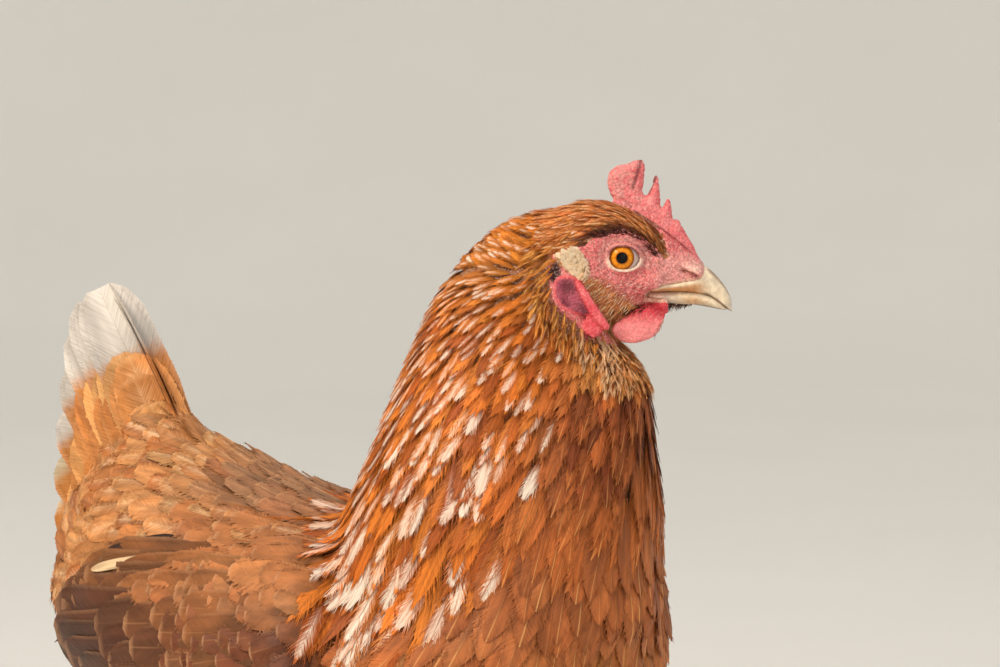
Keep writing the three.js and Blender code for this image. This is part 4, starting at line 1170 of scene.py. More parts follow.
ruff = feather_mesh(
    "ruff", wisp_vanes, path, up, np.full(len(path), 1.7), tint, mark, spot, lift=(-0.8, 0.9), roll=18,
    seed=33,
)
ruff_material = feather_material(
    "ruff_feather", "f4c48c", "8a4a1c", barbs=22.0, strands=4.0, shaft=0.5, shaft_colour="f0c080",
)
place(ruff, ruff_material, "hackle_feather")

# ---------------------------------------------------------------- crown
# The smallest feathers: they cover the crown from beside the comb to the nape, and the sides of the head
# behind the bare face, golden brown with pale streaks, darkest in a line above the eye.
crown_vanes = vane_set(4, 40, 4, 12, 0.42, LANCE, fringe=0.55, ragged=0.2, hair=1.1, camber=0.12)
crown_area = (form_part == "head") & off_face & (on_form_z > -28)
crown_area &= (np.abs(on_form_y) > 2.6) | (on_form_x < -2)


def along_crown(points, values):
    """Values at four places from the nape to the brow, read off at each point."""
    return np.interp(to_head(points)[:, 0], (-28, -10, 5, 18), values)


crown_roots = scatter(crown_area, lambda points: along_crown(points, (1.8, 1.35, 1.1, 0.9)), 21)
crown_rng = np.random.default_rng(22)
x, y, z = to_head(crown_roots).T
crown_length = along_crown(crown_roots, (12, 9.5, 7.2, 4.6))
crown_length = crown_length * crown_rng.uniform(0.8, 1.2, len(crown_roots))
crown_width = along_crown(crown_roots, (2.8, 2.0, 1.5, 1.1))
crown_rise = np.interp(x, (-28, -14, -5, 2, 8, 16), (-0.3, -0.22, -0.08, 0.15, 0.5, 1.1))
lie = np.stack([-np.ones(len(x)), 0.25 * y / 17, crown_rise - 0.9 * ease(2, -22, z)], -1)
heading = from_head(unit(lie)) - HEAD_AT + crown_rng.normal(0, 0.09, crown_roots.shape)
path, up = lay_over(crown_roots, unit(heading), crown_length, steps=4)
tint = between("b85a1e", "dc8842", crown_rng.random(len(path)))
brow_gap, _ = outline_gap(np.stack([x, z], -1), np.array(BARE_FACE))
brow = ease(2.6, 0.8, brow_gap) * (z > -2) * (x > -13)
tint = wash(tint, "3c1a10", (0.85 - 0.3 * ease(9, 13, x)) * brow)
tint = random_tints(tint, crown_rng, 0.18)
luck = crown_rng.random(len(path))
mark = marks_of(luck, (0.2 + 0.6 * luck) * (1 - brow), 0.1 + 0.25 * luck, 0.25)
up_map = (z + 40) / 80 * 0.49 + 0.5 * (y > 0)
spot = np.stack([(x + 40) / 80, up_map], -1)
crown = feather_mesh(
    "crown", crown_vanes, path, up, crown_width, tint, mark, spot, lift=(-1.2, 0.35), roll=9, seed=23,
)
crown_material = feather_material(
    "crown_feather", "f2d8aa", "7a3a16", barbs=20.0, strands=4.0, shaft=0.5, shaft_colour="f0c890",
)
place(crown, crown_material, "hackle_feather")

# ---------------------------------------------------------------- ear tufts and bristles
# A wedge of short cream feathers covers each ear above the lobe. Fine bristles grow out of the bare skin,
# golden on the cheek, dark along the jaw, over the eye and under the bill, and thin and pale elsewhere.
tuft_vanes = vane_set(4, 300, 6, 4, 0.5, WISP, fringe=0.15, ragged=0.1, uneven=0.01, hair=1.1, camber=0.04)
bristle_vanes = [
    (
        np.array([
            (-1, 0, 0), (1, 0, 0), (-0.8 + bend, 0.5, 0.3), (0.8 + bend, 0.5, 0.3),
            (3 * bend, 1, 0), (0.2 + 3 * bend, 1, 0),
        ]),
        np.array([(0, 1, 3, 2), (2, 3, 5, 4)]),
    )
    for bend in (-0.7, -0.3, 0.3, 0.7)
]
BRISTLE_FIELDS = {
    # outline in side view, spacing, length, way (x, z), width, rise of the tip, colours
    "cheek": ([(-12.5, -6.4), (-8.5, -7.4), (-4, -10), (2.4, -15), (7.4, -18.2), (-1, -24), (-5.2, -24),
               (-8.4, -18), (-12, -12)],
     0.6, 4.4, (-0.8, -0.65), 0.34, 0.6, ("f0a05c", "ffd8b0", "c87838")),
    "jaw": ([(-2, -19.6), (3, -18), (11, -16.6), (11, -18.8), (3, -21.2), (-1.5, -23.4)],
     0.6, 3.6, (-0.85, -0.5), 0.32, 0.6, ("5a2c1a", "8a5030", "3a1a10")),
    "lower_face": ([(-6, -9.8), (0, -8.4), (9, -8), (12, -12), (10, -15.6), (2.4, -15)],
     0.9, 2.8, (-0.95, -0.3), 0.3, 0.6, ("c8605a", "fbd0c0", "8a3a2a")),
    "face": ([(-16, 2), (-7, 8), (-6.5, -5), (0, -7.5), (8, -5), (9.5, 3), (17, -3), (24, -1), (20, -8),
              (9, -8), (0, -8.4), (-6, -9.8), (-12.4, -7.6)],
     1.4, 1.9, (-0.9, -0.4), 0.26, 0.4, ("b8625a", "f6c4b8", "9a4440")),
    "wattle_edge": ([(16, -22), (13.6, -26.6), (12.4, -28.6), (13.4, -29.4), (15.2, -26.6), (17.2, -22)],
     0.7, 2.6, (-0.5, -0.85), 0.26, 0.7, ("7a5a48", "d8c0a8", "4e2a1c")),
    "brow": ([(-11.4, 7), (-6.6, 10.2), (0.8, 12.2), (8.8, 8.8), (13.8, 4.8), (15.6, -0.6), (13.4, -0.6),
              (10.4, 3.4), (6, 6.8), (0, 8.8), (-7, 7.0)],
     0.45, 3.4, (-0.85, 0.5), 0.4, 0.5, ("44201a", "6a3424", "2a120c")),
}
skin_tree = BVHTree.FromPolygons(skin_head.tolist(), skin_faces)


def on_cheek(flat_points, side):
    """Where points of the side view lie on the skin, and the way the skin faces there."""
    spots, normals = [], []
    for x, z in flat_points:
        spot, normal, _, _ = skin_tree.ray_cast(Vector((x, side * 60, z)), Vector((0, -side, 0)))
        if spot is not None and abs(spot.y) > 3:
            spots.append(spot)
            normals.append(normal)
    return np.array(spots), np.array(normals)


def field(outline, spacing, rng):
    """Points at about one spacing from each other inside an outline."""
    outline = np.array(outline)
    low, high = outline.min(0), outline.max(0)
    x, z = np.meshgrid(np.arange(low[0], high[0], spacing), np.arange(low[1], high[1], spacing))
    points = np.stack([x.ravel(), z.ravel()], -1)
    points = points + rng.uniform(-0.5, 0.5, points.shape) * spacing
    return points[inside(points, outline)]


def joined(parts):
    """Each column of several lots, in one array."""
    return [np.concatenate(part) for part in zip(*parts)]


def stand(spots, normals, way, length, bend, rng, spread):
    """Short feathers or bristles that stand: where they run and which way they face, in the hen's axes."""
    way = unit(way + rng.normal(0, spread, spots.shape))
    way = unit(way - normals * (np.einsum("ij,ij->i", way, normals))[:, None])
    t = np.linspace(0, 1, 5)[None, :, None]
    run = spots[:, None] + way[:, None] * t * length[:, None, None] + normals[:, None] * bend * t**1.6
    faces = np.repeat(normals[:, None], 5, 1)
    path = from_head(run.reshape(-1, 3)).reshape(run.shape)
    return path, (from_head(faces.reshape(-1, 3)) - HEAD_AT).reshape(run.shape)


EAR_WEDGE = [
    (-21.6, -0.4), (-19.6, 1.2), (-15.2, 2.2), (-12.8, -1.0), (-10.8, -5), (-11.2, -8.6), (-14, -8.2),
    (-18.6, -4),
]
tuft_rng = np.random.default_rng(310)
parts = []
for _, side in SIDES:
    points = field(EAR_WEDGE, 0.75, tuft_rng)
    spots, normals = on_cheek(points, side)
    length = tuft_rng.uniform(3.4, 4.6, len(spots))
    path, up = stand(spots, normals, np.array((-0.80, side * 0.10, 0.56)), length, 0.7, tuft_rng, 0.07)
    luck = tuft_rng.random(len(spots))
    tint = between("ffe6c0", "fbd09c", 0.6 * luck**2)
    tint = wash(tint, "e0a470", 0.5 * ease(-14, -11.6, spots[:, 0]) * luck)
    tint = random_tints(tint, tuft_rng, 0.04)
    spot = np.stack([0.25 + 0.5 * (side > 0) + spots[:, 0] * 0.008, 0.5 + spots[:, 2] * 0.015], -1)
    parts.append((path, up, np.full(len(spots), 2.6), tint, marks_of(luck, 1, 1.8), spot))
tufts = feather_mesh(
    "ear_tufts", tuft_vanes, *joined(parts), lift=(-0.3, 0.5), roll=2, seed=311, unsettled=0.05,
)
tuft_material = feather_material(
    "ear_feather", "ffe8c6", "e2c49a", barbs=12.0, strands=1.5, shaft=0.1, shaft_colour="fff8ec",
    relief=0.06,
)
place(tufts, tuft_material, "ear_feather", "ear_tuft_right", "ear_tuft_left")

bristle_rng = np.random.default_rng(320)
parts = []
for outline, spacing, length, way, width, rise, colours in BRISTLE_FIELDS.values():
    for _, side in SIDES:
        spots, normals = on_cheek(field(outline, spacing, bristle_rng), side)
        lengths = length * bristle_rng.uniform(0.6, 1.2, len(spots))
        path, up = stand(spots, normals, np.array((way[0], 0, way[1])), lengths, rise, bristle_rng, 0.22)
        luck = bristle_rng.random(len(spots))
        pick = bristle_rng.choice(3, len(spots), p=(0.5, 0.3, 0.2))
        tint = np.array([ink(code) for code in colours])[pick]
        tint = random_tints(tint, bristle_rng, 0.12)
        spot = np.stack([0.25 + 0.5 * (side > 0) + spots[:, 0] * 0.006, 0.5 + spots[:, 2] * 0.012], -1)
        parts.append((path, up, np.full(len(spots), width), tint, marks_of(luck), spot))
chin_at = np.stack([bristle_rng.uniform(13, 27, 170), bristle_rng.uniform(-5, 5, 170)], -1)
spots = np.stack([chin_at[:, 0], chin_at[:, 1], -17.9 - 0.02 * (chin_at[:, 0] - 13)], -1)
normals = np.stack([0 * spots[:, 0], np.sign(spots[:, 1]), 0 * spots[:, 0]], -1)
lengths = bristle_rng.uniform(1.5, 3.8, len(spots)) * ease(30, 20, spots[:, 0])
path, up = stand(spots, normals, np.array((-0.35, 0, -0.95)), lengths, 0.4, bristle_rng, 0.18)
luck = bristle_rng.random(len(spots))
tint = np.array([ink(code) for code in ("5a3a28", "8a6048", "3a2218")])[bristle_rng.choice(3, len(spots))]
tint = random_tints(tint, bristle_rng, 0.12)
spot = np.stack([0.5 + spots[:, 1] * 0.01, 0.1 + spots[:, 0] * 0.002], -1)
parts.append((path, up, np.full(len(spots), 0.3), tint, marks_of(luck), spot))
bristles = feather_mesh("bristles", bristle_vanes, *joined(parts), lift=(-0.3, 0.1), roll=25, seed=321)
place(bristles, feather_material("bristle", "e8c8a0", "6a3214", barbs=4.0), "hackle_feather")

# ---------------------------------------------------------------- breast, back and belly
# Broad rounded feathers lie like tiles over the breast, sides, back and belly, caramel brown with thin pale
# shafts in front, and a lighter, mottled orange over the back and rump.
ROUNDED = [(0, 0.35), (0.25, 0.75), (0.55, 1), (0.8, 0.97), (0.92, 0.8), (0.98, 0.55), (1, 0.3)]
body_vanes = vane_set(5, 60, 10, 30, 0.22, ROUNDED, fringe=0.16, ragged=0.06, camber=0.18)
OVAL = [(0, 0.35), (0.22, 0.78), (0.48, 1), (0.7, 0.92), (0.86, 0.64), (0.95, 0.36), (1, 0.12)]
breast_vanes = vane_set(5, 70, 11, 34, 0.26, OVAL, fringe=0.14, ragged=0.06, camber=0.16)
LOOSE = [(0, 0.4), (0.3, 0.85), (0.6, 1), (0.85, 0.85), (1, 0.5)]
down_vanes = vane_set(5, 80, 9, 30, 0.3, LOOSE, fringe=0.35, ragged=0.14, uneven=0.05)


def body_lie(points, tail_base=196):
    """The lie of the coat on the trunk: down over the breast, back along the sides, and up at the tail."""
    x, y, z = points.T
    front = ease(15, 95, x)
    tail = ease(-100, -135, x) * ease(tail_base, tail_base + 30, z)
    down = -(0.12 + 1.9 * front) - (0.35 * ease(-60, -150, x) + 2.2 * ease(-140, -165, x)) * (1 - tail)
    lie = np.stack([-np.ones(len(x)), 0 * x, down], -1)
    return unit(mix(unit(lie), np.array((-0.55, 0, 0.83)), tail))


body_x, body_y, body_z = form_middles[:, 0], np.abs(form_middles[:, 1]), form_middles[:, 2]
shoulder = (form_part == "wing") & (body_x > -34) & ((body_z < 216) | (body_y > 66))
scapular = (form_part != "tail") & (body_x > -50) & (body_x < 6) & (body_y > 36) & (body_z > 212) & ~shoulder
scapular &= form_part != "neck"
body_area = np.isin(form_part, ("trunk", "tail")) | ((form_part == "neck") & (body_z <= hackle_floor))
body_area &= ~shoulder & ~scapular
rear_top = 205 + 10 * ease(-125, -145, body_x)
rear = body_area & (body_x < -105) & (body_z < rear_top)
belly = body_area & ~rear & (body_z < 132) & (body_x < 50)
breast = body_area & ~rear & ~belly & (body_x > 0) & (body_z < 254)
saddle = body_area & ~rear & ~belly & ~breast
BODY_PIECES = {
    # faces, spacing, length, width, lift at the tip
    "breast": (breast, 6.4, 33, 14, 0.6),
    "saddle": (saddle, 6.2, 30, 12.5, 0.7),
    "belly": (belly, 7.5, 30, 15, 0.8),
    "vent": (rear, 5.8, 28, 13, 0.8),
    "scapulars": (scapular, 6.2, 34, 15.5, 1.7),
    "shoulder_coverts": (shoulder, 5.4, 22, 13.5, 1.5),
}
body_material = feather_material(
    "body_feather", "f0d4a8", "7a3c18", barbs=110.0, strands=3.0, shaft=0.6, shaft_colour="eab26c",
    relief=0.2,
)
rump_material = feather_material(
    "rump_feather", "ecd0a8", "d29c66", barbs=90.0, strands=2.5, shaft=0.25, shaft_colour="ecc08a",
    relief=0.22,
)
wing_material = feather_material(
    "wing_feather", "dcb68c", "c09068", barbs=150.0, strands=1.5, shaft=0.25, shaft_colour="c08a5c",
    relief=0.16,
)
for seed, (piece_name, (chosen, space, length, broad, tip)) in enumerate(BODY_PIECES.items()):
    rng = np.random.default_rng(100 + seed)
    roots = scatter(chosen, lambda p: space * (1 - 0.25 * ease(-95, -150, p[:, 0])), 110 + seed)
    size = rng.uniform(0.85, 1.15, len(roots)) * (1 - 0.25 * ease(-95, -150, roots[:, 0]))
    on_wing = piece_name in ("scapulars", "shoulder_coverts")
    lie = body_lie(roots, 225 if piece_name == "vent" else 196)
    if piece_name == "shoulder_coverts":
        lie = unit(lie + (0, 0, 1) * (ease(10, -12, roots[:, 2] - 205)[:, None] * -0.35 + 0.05))
    heading = unit(lie + rng.normal(0, 0.07, roots.shape))
    path, up = lay_over(roots, heading, length * size, cling=0.8)
    near_wing = np.array([part_trees["wing"].find_nearest(Vector(end))[3] for end in path[:, 5]])
    kept = even(path) & ((near_wing > 2.2) | (path[:, 5, 0] > -120) | on_wing)
    path, up, size, near_wing = path[kept], up[kept], size[kept], near_wing[kept]
    seen = path[:, 4]
    x, y, z = seen.T
    luck = rng.random(len(seen))
    if on_wing:
        low = ease(222, 196, z)
        tint = between("ac6c3c", "6e3c24", low)
        tint = wash(tint, "5a3019", 0.5 * low * (rng.random(len(seen)) < 0.4))
        mark = marks_of(luck, rim=0.3 + 0.3 * luck)
    else:
        back = ease(205, 235, z) * ease(40, 0, x)
        rump = np.maximum(ease(-30, -80, x), back)
        tint = between("a25b2e", "a86836", rump)
        tint = wash(tint, "be7834", 0.6 * ease(205, 170, z) * (1 - rump))
        tint = wash(tint, "cc9862", 0.5 * ease(150, 112, z) + 0.45 * rump * rng.random(len(seen)))
        tint = wash(tint, "a05c2c", 0.6 * rump * (rng.random(len(seen)) < 0.25))
        grey = ease(-86, -74, x) * ease(-24, -38, x) * ease(38, 26, np.abs(y)) * (z > 230)
        tint = wash(tint, "94694a", 0.75 * grey)
        pale = rump * (1 - grey)
        mark = marks_of(luck, 0.55 * pale * luck, 0.3 * pale * luck, 0.35 + (0.4 * luck - 0.1) * pale)
    tint = random_tints(tint, rng, 0.13)
    turn = np.arctan2(y, z - 185)
    spot = np.stack([turn / math.pi * 0.49 + 0.5, (x + 200) / 340], -1)
    soft = piece_name in ("belly", "vent")
    vanes = down_vanes if soft else breast_vanes if piece_name == "breast" else body_vanes
    material = wing_material if on_wing else body_material if piece_name == "breast" else rump_material
    # What runs in under the folded wing lies below its quills.
    sunk = 0 if on_wing else np.clip((7 - near_wing) / 4.5, 0, 1)
    tips = tip + sunk * (np.interp(path[:, 5, 0], (-128, -108), (-2.6, -4.8)) - tip)
    piece = feather_mesh(
        piece_name, vanes, path, up, broad * size, tint, mark, spot,
        lift=(-3.6, tips), roll=9 if soft else 5, seed=120 + seed,
    )
    place(piece, material, "wing_feather" if on_wing else "body_feather")

# ---------------------------------------------------------------- wings
# Behind the small coverts of the shoulder, each folded wing has rows of median and greater coverts, then
# the long secondaries, with the tips of the primaries below them. They are brown with a fine pale edge, and
# grow from the rear of the wing's arm and hand.
TILE = [(0, 0.4), (0.3, 0.85), (0.6, 1), (0.8, 0.95), (0.91, 0.76), (0.97, 0.48), (1, 0.22)]
QUILL = [(0, 0.35), (0.15, 0.75), (0.5, 1), (0.85, 0.97), (0.95, 0.75), (1, 0.35)]
tile_vanes = vane_set(4, 140, 14, 34, 0.16, TILE, fringe=0.03, ragged=0.012, camber=0.02, uneven=0.003)
quill_vanes = vane_set(3, 150, 24, 60, 0.09, QUILL, fringe=0.02, ragged=0.008, camber=0.015, uneven=0.002)
WING_ROWS = [
    # vanes, count, first and last root, first and last tip (x, degrees from the spine), width, lift,
    # warmth, shade
    ("quill", 6, (-92, 108), (-76, 116), (-148, 113), (-130, 126), 15, (-3.8, -5.0), 0.3, "482713"),
    ("quill", 10, (-52, 72), (-14, 112), (-140, 102), (-72, 129), 20, (-3.4, -1.6), 0.55, "4e2c18"),
    # a near-black feather along the top rear edge of the wing: partly a dark inner vane, partly painted
    # shadow in the gap under the saddle
    ("tile", 1, (-72, 45), (-72, 45), (-107, 64), (-107, 64), 9, (-3.0, -0.1), 0.0, "3c2214"),
    ("quill", 5, (-46, 50), (-40, 68), (-114, 66), (-132, 94), 22, (-3.0, -0.7), 0.55, "5a341e"),
    ("tile", 1, (-72, 53), (-72, 53), (-108, 70), (-108, 70), 4.5, (-2.4, 1.2), 0.0, "c8ac86"),
    ("tile", 9, (-48, 54), (-20, 110), (-112, 72), (-56, 126), 19, (-2.8, -0.2), 0.55, "583420"),
    ("tile", 9, (-30, 54), (-8, 108), (-92, 66), (-42, 122), 18, (-2.4, 0.3), 0.55, "5e3822"),
    ("tile", 10, (-18, 52), (-1, 104), (-73, 60), (-31, 119), 16.5, (-2.0, 0.8), 0.55, "6a3f26"),
    ("tile", 10, (-8, 52), (4, 102), (-56, 56), (-21, 115), 15.5, (-1.6, 1.3), 0.55, "754628"),
]


def wing_surface(side, x, degrees):
    """The outer surface of the folded wing."""
    _, middle, spread, thick = np.moveaxis(smooth_row(WING, row_share(WING, x)), -1, 0)
    off = np.clip(np.abs(degrees - middle) / np.maximum(spread, 1), 0, 1)
    swell = thick * np.sqrt(1 - off**2) - 1
    return hull_point(side, x, degrees, swell), hull_point(side, x, degrees, swell + 1)


for name, side in SIDES:
    rng = np.random.default_rng(200)
    rows = {"quill": [], "tile": []}
    for kind, count, root0, root1, tip0, tip1, broad, lift, warmth, shade in WING_ROWS:
        f = np.linspace(0, 1, count)[:, None] + rng.normal(0, 0.012, (count, 1))
        roots = np.array(root0) * (1 - f) + np.array(root1) * f
        tips = np.array(tip0) * (1 - f) + np.array(tip1) * f + rng.normal(0, 1, (count, 2)) * (2.6, 1.0)
        t = np.linspace(0, 1, 8)[None, :, None]
        run = roots[:, None] * (1 - t) + tips[:, None] * t
        on, off = wing_surface(side, run[..., 0], run[..., 1])
        luck = rng.random(count)
        colours = mix(ink(shade), ink("9a6030"), warmth * ease(82, 60, run[:, 4, 1]))
        colours = random_tints(colours, rng, 0.12)
        marks = marks_of(luck, rim=0.2 + 0.3 * luck)
        places = np.stack([(run[:, 4, 1]) / 140, (run[:, 4, 0] + 170) / 200], -1)
        lifts = np.tile(lift, (count, 1))
        rows[kind].append((on, unit(off - on), np.full(count, float(broad)), colours, marks, places, lifts))
    for kind, vanes in (("quill", quill_vanes), ("tile", tile_vanes)):
        on, out, broad, colours, marks, places, lifts = joined(rows[kind])
        piece = feather_mesh(
            f"wing_{kind}s_{name}", vanes, on, out, broad, colours, marks, places, lift=lifts.T, roll=0.6,
            seed=210, tilt=side * 2.5, unsettled=0.05,
        )
        place(piece, wing_material, "wing_feather")

# ---------------------------------------------------------------- tail
# Two fans of seven long feathers meet like a roof along the top of the tail. They are orange brown at the
# base and white at the tips and along the rear edge.
TAIL_TIPS = [
    (-158, 3, 319), (-162, 5.5, 315), (-163, 8, 304), (-164, 10.5, 289), (-165, 13, 271), (-165, 15.5, 253),
    (-164, 18, 236),
]
tail_vanes = vane_set(3, 170, 26, 70, 0.08, QUILL, fringe=0.02, ragged=0.01, camber=0.05, uneven=0.003)
tail_rng = np.random.default_rng(230)
fan, coverts = [], []


def tail_quill(k, side):
    """Root and tip of a feather k places down the fan, and the way its upper face looks."""
    x, y, z = (np.interp(k, range(7), column) for column in np.array(TAIL_TIPS).T)
    lean = math.radians(52 - 6 * k)
    out = np.array((0, side * math.cos(lean), math.sin(lean)))
    return np.array((-104 - 3 * k, side * (3 + 1.4 * k), 232 - 5 * k)), np.array((x, side * y, z)), out


t = np.linspace(0, 1, 8)[:, None]
for _, side in SIDES:
    for k, white_from in enumerate((0.62, 0.67, 0.74, 0.8, 0.82, 0.86, 0.92)):
        root, tip, out = tail_quill(k, side)
        run = root * (1 - t) + tip * t + out * (2.5 * np.sin(math.pi * t) - 0.25 * k)
        white = ink("c4bdb4" if k < 5 else "c4b090")
        spot = (0.5 + side * (0.06 + 0.06 * k), 0.5)
        fan.append((run, np.tile(out, (8, 1)), ink("bc7838"), white, white_from, spot, side * 5))
    for row, (reach, above_fan) in enumerate(((1.0, 1.2), (0.82, 2.2), (0.64, 3.2))):
        for k in np.arange(0, 6.1, 0.6) + 0.3 * (row % 2):
            root, tip, out = tail_quill(k, side)
            stop = reach * np.interp(k, (0, 2, 5, 6), (0.66, 0.82, 0.84, 0.9)) + tail_rng.normal() * 0.02
            shaft = root * (1 - stop * t) + tip * stop * t
            run = shaft + out * (2.5 * np.sin(math.pi * stop * t) + above_fan)
            orange = between("b87236", "cf9558", tail_rng.random())
            spot = (0.5 + side * (0.06 + 0.06 * k), 0.2 + 0.2 * row)
            coverts.append((run, np.tile(out, (8, 1)), orange, spot, side * 5))
path, up, tint, white, white_from, spot, tilt = (np.array(part) for part in zip(*fan))
luck = tail_rng.random(14)
tail = feather_mesh(
    "tail_fan", tail_vanes, path, up, np.full(14, 30.0), tint, marks_of(luck, rim=0.15), spot,
    lift=(-0.5, 0.0), roll=0.5, seed=231, tip_tint=white, tip_from=(white_from, white_from + 0.08),
    tilt=tilt, unsettled=0.05,
)
tail_material = feather_material(
    "tail_feather", "f2ebe0", "e6dccf", barbs=190.0, strands=1.5, shaft=0.3, shaft_colour="e2d6c6",
    relief=0.16,
)
place(tail, tail_material, "tail_feather")
path, up, tint, spot, tilt = (np.array(part) for part in zip(*coverts))
luck = tail_rng.random(len(path))
tail_coverts = feather_mesh(
    "tail_coverts", tile_vanes, path, up, 22 + 5 * luck, random_tints(tint, tail_rng, 0.08),
    marks_of(luck, 0.4 * luck, 0.1 + 0.2 * luck, 0.3 + 0.4 * luck), spot,
    lift=(-0.5, 0.3), roll=1.5, seed=232, tilt=tilt, unsettled=0.1,
)
place(tail_coverts, rump_material, "tail_feather")

# ---------------------------------------------------------------- thighs
# Soft rounded feathers hang over each thigh down to the scaled shank. They are loose and downy at the edge,
# and grow from the skin of the thigh in the same way as those of the belly.
thigh_rng = np.random.default_rng(240)
thigh_area = (form_part == "thigh") & (form_middles[:, 2] > 92)


def up_thigh(points, values):
    """Values at three heights of the thigh, read off at each point."""
    return np.interp(points[:, 2], (92, 110, 150), values)


thigh_roots = scatter(thigh_area, lambda points: up_thigh(points, (3.6, 5.0, 7.0)), 241)
thigh_length = up_thigh(thigh_roots, (13, 20, 30))
thigh_length = thigh_length * thigh_rng.uniform(0.85, 1.15, len(thigh_roots))
heading = unit(np.array((-0.25, 0, -1.0)) + thigh_rng.normal(0, 0.08, thigh_roots.shape))
path, up = lay_over(thigh_roots, heading, thigh_length, cling=0.8)
tint = random_tints(np.tile(ink("bd7632"), (len(path), 1)), thigh_rng, 0.10)
luck = thigh_rng.random(len(path))
mark = marks_of(luck, rim=0.35)
turn = np.arctan2(np.abs(thigh_roots[:, 1]) - 40, thigh_roots[:, 0] + 14)
round_map = turn / math.pi * 0.24 + 0.25 + 0.5 * (thigh_roots[:, 1] > 0)
spot = np.stack([round_map, (thigh_roots[:, 2] - 85) / 90], -1)
thighs = feather_mesh(
    "thigh_coat", down_vanes, path, up, up_thigh(thigh_roots, (6, 9, 13)), tint, mark, spot,
    lift=(-3.2, 0.6), roll=9, seed=242,
)
place(thighs, body_material, "body_feather")

# ---------------------------------------------------------------- eyes
# Each eyeball is a wet globe held between the lids, with a bulging clear cornea in front. Under it lie a
# black pupil, an orange iris with a darker ring, and a grey-white membrane round them.
IRIS_EDGE, PUPIL_EDGE = (4.5, 4.75), (2.25, 2.05)  # how far from the eye's axis they end
eye_material, tree, shader = new_material(
    "eye", Roughness=0.3, Coat_Weight=0.25, Coat_Roughness=0.02, Specular_IOR_Level=0.0,
)
gaze = attribute(tree, "gaze").outputs["Vector"]
gx, _, gz = add_node(tree, "SeparateXYZ", Vector=gaze).outputs
off_axis = calc(tree, "SQRT", calc(tree, "ADD", times(tree, gx, gx), times(tree, gz, gz)))
ray = add_node(tree, "CombineXYZ", X=calc(tree, "DIVIDE", gx, off_axis), Y=times(tree, off_axis, 0.06),
               Z=calc(tree, "DIVIDE", gz, off_axis)).outputs[0]
fibre = grain(tree, 9.0, 4.0, ray)
iris = blend_colour(tree, ramp(tree, fibre, 0.3, 0.7), paint("cf7010"), paint("f2a32c"))
iris = blend_colour(tree, ramp(tree, off_axis, 3.3, 4.5), iris, paint("8a4409"))
iris = blend_colour(tree, ramp(tree, off_axis, 2.9, 2.2), iris, paint("b9660c"))
colour = blend_colour(tree, ramp(tree, off_axis, *IRIS_EDGE), iris, paint("c4b0aa"))
colour = blend_colour(tree, ramp(tree, off_axis, *PUPIL_EDGE), colour, (0.004, 0.003, 0.003, 1))
tree.links.new(colour, shader.inputs["Base Color"])
for name, side in SIDES:
    eye_bm = bmesh.new()
    verts = bmesh.ops.create_uvsphere(eye_bm, u_segments=96, v_segments=64, radius=EYE_RADIUS)["verts"]
    bmesh.ops.rotate(eye_bm, verts=verts, cent=(0, 0, 0), matrix=Matrix.Rotation(math.pi / 2, 3, "X"))
    eye = finished_mesh(eye_bm, f"eyeball_{name}")
    local = vertex_array(eye.data)
    layer = eye.data.attributes.new("gaze", "FLOAT_VECTOR", "POINT")
    layer.data.foreach_set("vector", local.astype(np.float32).ravel())
    cornea = 0.55 * ease(4.9, 0, np.hypot(local[:, 0], local[:, 2])) * (local[:, 1] * side > 0)
    local[:, 1] += side * cornea
    local[:, 1] += side * EYE_SIDE
    set_vertices(eye.data, from_head(local))
    place(eye, eye_material, "eye", f"eye_{name}")

# ---------------------------------------------------------------- bill
# Two halves of horn that grow forward from the skin over the bones of the jaws. They are cream and amber
# with growth lines, and the upper one has a brown keel and cutting edge and a pale hooked tip.
UPPER_BILL = [
    # x, top, bottom, half width
    (8.5, -12.8, -13.4, 0), (12, -10.6, -13.6, 9.9), (16, -9.1, -13.7, 9.2), (20, -8.4, -13.7, 8.4),
    (26, -6.6, -14.0, 7.4), (30, -4.3, -14.7, 6.2), (32.4, -4.4, -15.4, 5.6), (36, -7.6, -17.5, 4.3),
    (39.5, -12.1, -20.0, 2.5), (41.5, -16.4, -21.1, 1), (41.9, -19.8, -21.2, 0),
]
LOWER_BILL = [
    (8, -13.4, -14.6, 0), (12, -12.9, -16.6, 8.6), (20, -12.9, -18.1, 7.4), (27, -13.2, -18.6, 5.7),
    (32.5, -14.4, -19.4, 4.3), (36.5, -16.8, -20.2, 2.8), (39.8, -19.6, -20.6, 0),
]
bill_material, tree, shader = new_material(
    "bill_horn", Roughness=0.22, Specular_IOR_Level=0.55, Subsurface_Weight=0.15, Subsurface_Scale=0.001,
    Subsurface_Radius=(1.0, 0.7, 0.4),
)
given = add_node(tree, "TexCoord").outputs["Object"]
turned_back = {"Rotation": (0, 0, -HEAD_TURN), "Scale": (1.0, 0.35, 0.5)}
spot = add_node(tree, "Mapping", {"vector_type": "POINT"}, Vector=given, **turned_back).outputs[0]
growth = grain(tree, 900, 3.0, spot)
shade = ramp(tree, growth, 0.3, 0.7, 0.82, 1.1)
tree.links.new(
    blend_colour(tree, 1.0, attribute(tree, "horn").outputs["Color"], shade, "MULTIPLY"),
    shader.inputs["Base Color"],
)
bump(tree, shader, growth, 0.3)
